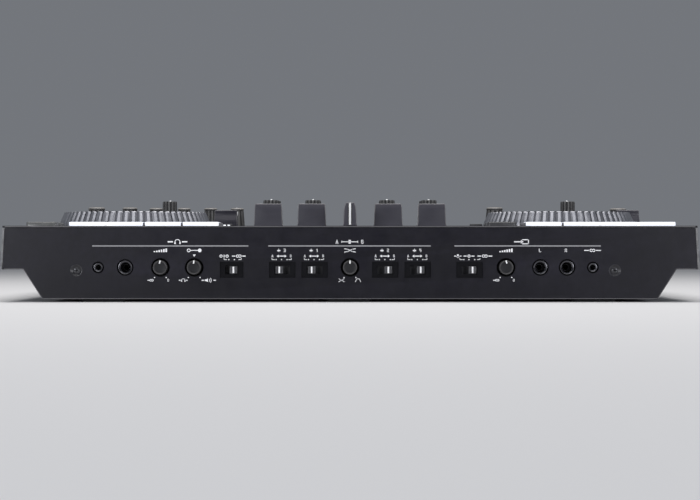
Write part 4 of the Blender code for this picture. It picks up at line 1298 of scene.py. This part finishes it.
def add_phono(sockets, x, z, insulator, room):
    """A nickel shell that stands at most as far out as the top panel's rear edge, round a coloured core."""
    place = on_rear(x, z)
    washer = [(5.9, -0.3), (5.9, 0.6), (5.5, 0.9), (3.4, 0.9), (3.4, -0.3)]
    sockets.turned(washer, insulator, place, 40, ring=True)
    shell = [(4.1, 0.8), (4.15, room - 0.9), (3.9, room - 0.5), (3.3, room - 0.5), (3.2, 1.6), (3.2, 0.8)]
    sockets.turned(shell, NICKEL, place, 40, ring=True)
    core = [(3.25, 0.9), (3.25, room - 3), (1.7, room - 3), (1.7, 0.9)]
    sockets.turned(core, insulator, place, 32, ring=True)
    sockets.turned([(1.6, 0.5), (1.6, 1.2), (0.3, 1.2)], SLOT_BLACK_AND_SHADE, place, 16)


def add_balanced(sockets, place):
    """A square flange with a round mouth, three pins and two screws."""
    sockets.slab(13, 15.5, 3, [(0, -0.3), (0, 1.4), (0.5, 1.9)], SOCKET_PLASTIC, place)
    collar = [(11.3, 1.7), (11.3, 4.8), (10.9, 5.3), (9.8, 5.3), (9.5, 4.9), (9.5, 1.7)]
    sockets.turned(collar, SOCKET_PLASTIC, place, 56, ring=True)
    sockets.turned([(9.4, 1.7), (9.4, 2.2), (0.5, 2.2)], SLOT_BLACK_AND_SHADE, place, 40)
    for turn in (90, 210, 330):
        pin = place @ at(*polar(3.9, math.radians(turn)), 0)
        sockets.turned([(1.15, 2.0), (1.15, 4.6), (0.8, 5.0), (0.2, 5.1)], NICKEL, pin, 20)
    for sign in (-1, 1):
        corner = place @ at(sign * 10.2, -sign * 12.4, 0)
        sockets.turned([(1.7, 1.8), (1.7, 2.4), (1.2, 2.7), (0.3, 2.7)], SCREW_STEEL, corner, 18)


def add_microphone(sockets, place):
    nut = [(3.3, -0.2), (3.3, 3.2), (4.2, 3.9), (6.4, 3.9), (7.2, 3.2), (7.2, 1.0), (9.0, 0.7), (9.0, -0.2)]
    sockets.turned(nut, SOCKET_PLASTIC, place, 44, ring=True)
    sockets.turned([(3.4, -0.2), (3.4, 0.3), (0.4, 0.3)], SLOT_BLACK_AND_SHADE, place, 24)


def add_square_port(sockets, place):
    shell = [(0, -0.3), (0, 1.6), (0.35, 2.0), (0.8, 2.0), (1.1, 1.6), (1.1, -0.3)]
    sockets.slab(7.2, 6.8, 0.8, shell, NICKEL, place, ring=True, follow=0)
    sockets.slab(6.0, 5.6, 0.5, [(0, -0.2), (0, 0.25)], SLOT_BLACK_AND_SHADE, place)
    sockets.slab(3.2, 2.2, 0.3, [(0, 0.1), (0, 1.7)], SOCKET_PLASTIC, place)


def add_inlet(sockets, place):
    shell = [(3.0, -0.2), (3.0, 2.0), (3.4, 2.4), (6.0, 2.4), (6.4, 2.0), (6.4, -0.2)]
    sockets.turned(shell, SOCKET_PLASTIC, place, 40, ring=True)
    sockets.turned([(1.0, -0.2), (1.0, 1.9), (0.3, 2.1)], NICKEL, place, 20)
    sockets.turned([(3.1, -0.2), (3.1, 0.2), (1.05, 0.2), (1.05, -0.2)], SLOT_BLACK_AND_SHADE, place, 24, ring=True)


def make_rear_sockets():
    room = REAR_EDGE - REAR
    sockets = Piece()
    for x in (-250, -228, -190, -168, -130, -108, 160, 182):
        add_phono(sockets, x, 44, WHITE_PLASTIC, room)
        add_phono(sockets, x, 26, RED_PLASTIC, room)
    for x in BALANCED_X:
        add_balanced(sockets, on_rear(x, 36))
    for x in (-70, -44):
        add_microphone(sockets, on_rear(x, PORT_Z))
    for x in (10, 38):
        add_square_port(sockets, on_rear(x, PORT_Z))
    add_inlet(sockets, on_rear(236, PORT_Z))
    sockets.build("rear_sockets", "root", "socket_black")


def make_power_switch():
    switch = Piece(on_rear(POWER_X, PORT_Z))
    bezel = [(0, -0.3), (0, 1.2), (0.5, 1.6), (1.4, 1.6), (1.6, 1.2), (1.6, -0.3)]
    switch.slab(11, 7.5, 1, bezel, SOCKET_PLASTIC, ring=True, follow=0)
    rocker = ((-9.2, -0.2), (9.2, -0.2), (9.2, 1.2), (0, 2.0), (-9.2, 4.2))
    switch.loft([[Vector((x, y, z)) for x, z in rocker] for y in (-5.7, 5.7)], SOCKET_PLASTIC)
    switch.build("power_switch", "root", "socket_black")


def print_rear_panel():
    """Group lines, channel numerals, side letters and signs. The panel's own +X runs to the player's left."""
    ink = Print(on_rear(0, 0))
    for left, right in ((-260, -98), (-82, -32), (84, 140), (150, 192), (0, 48), (224, 284)):
        ink.bar(-(left + right) / 2, 58, right - left, 0.7, GREY_INK)
    for character, x in (*zip("1234", (-239, -179, -119, 171)), *zip("LR", BALANCED_X)):
        ink.glyph(character, -x, 62.5, 3.4)
    draw_microphone(ink, 57, 62.5)
    ink.arc(-POWER_X, 49, 1.9, -240, 60, 0.5)
    ink.bar(-POWER_X, 50.4, 0.5, 2.4)
    ink.build("rear_panel_print", slot="panel_black")


make_camera()
make_floor()
make_light()
dress_case()
make_feet()
make_front_screws()
make_case_screws()
make_jacks()
make_front_knobs()
make_knob_wells()
make_switches()
make_switch_bodies()
print_front_panel()
make_jog_wheels()
make_jog_collars()
make_pads()
make_transport_keys()
make_mixer_caps()
make_tempo_caps()
make_fader_slots()
make_deck_knobs()
make_equaliser_knobs()
make_small_keys()
make_lamps()
print_deck()
make_rear_sockets()
make_power_switch()
print_rear_panel()
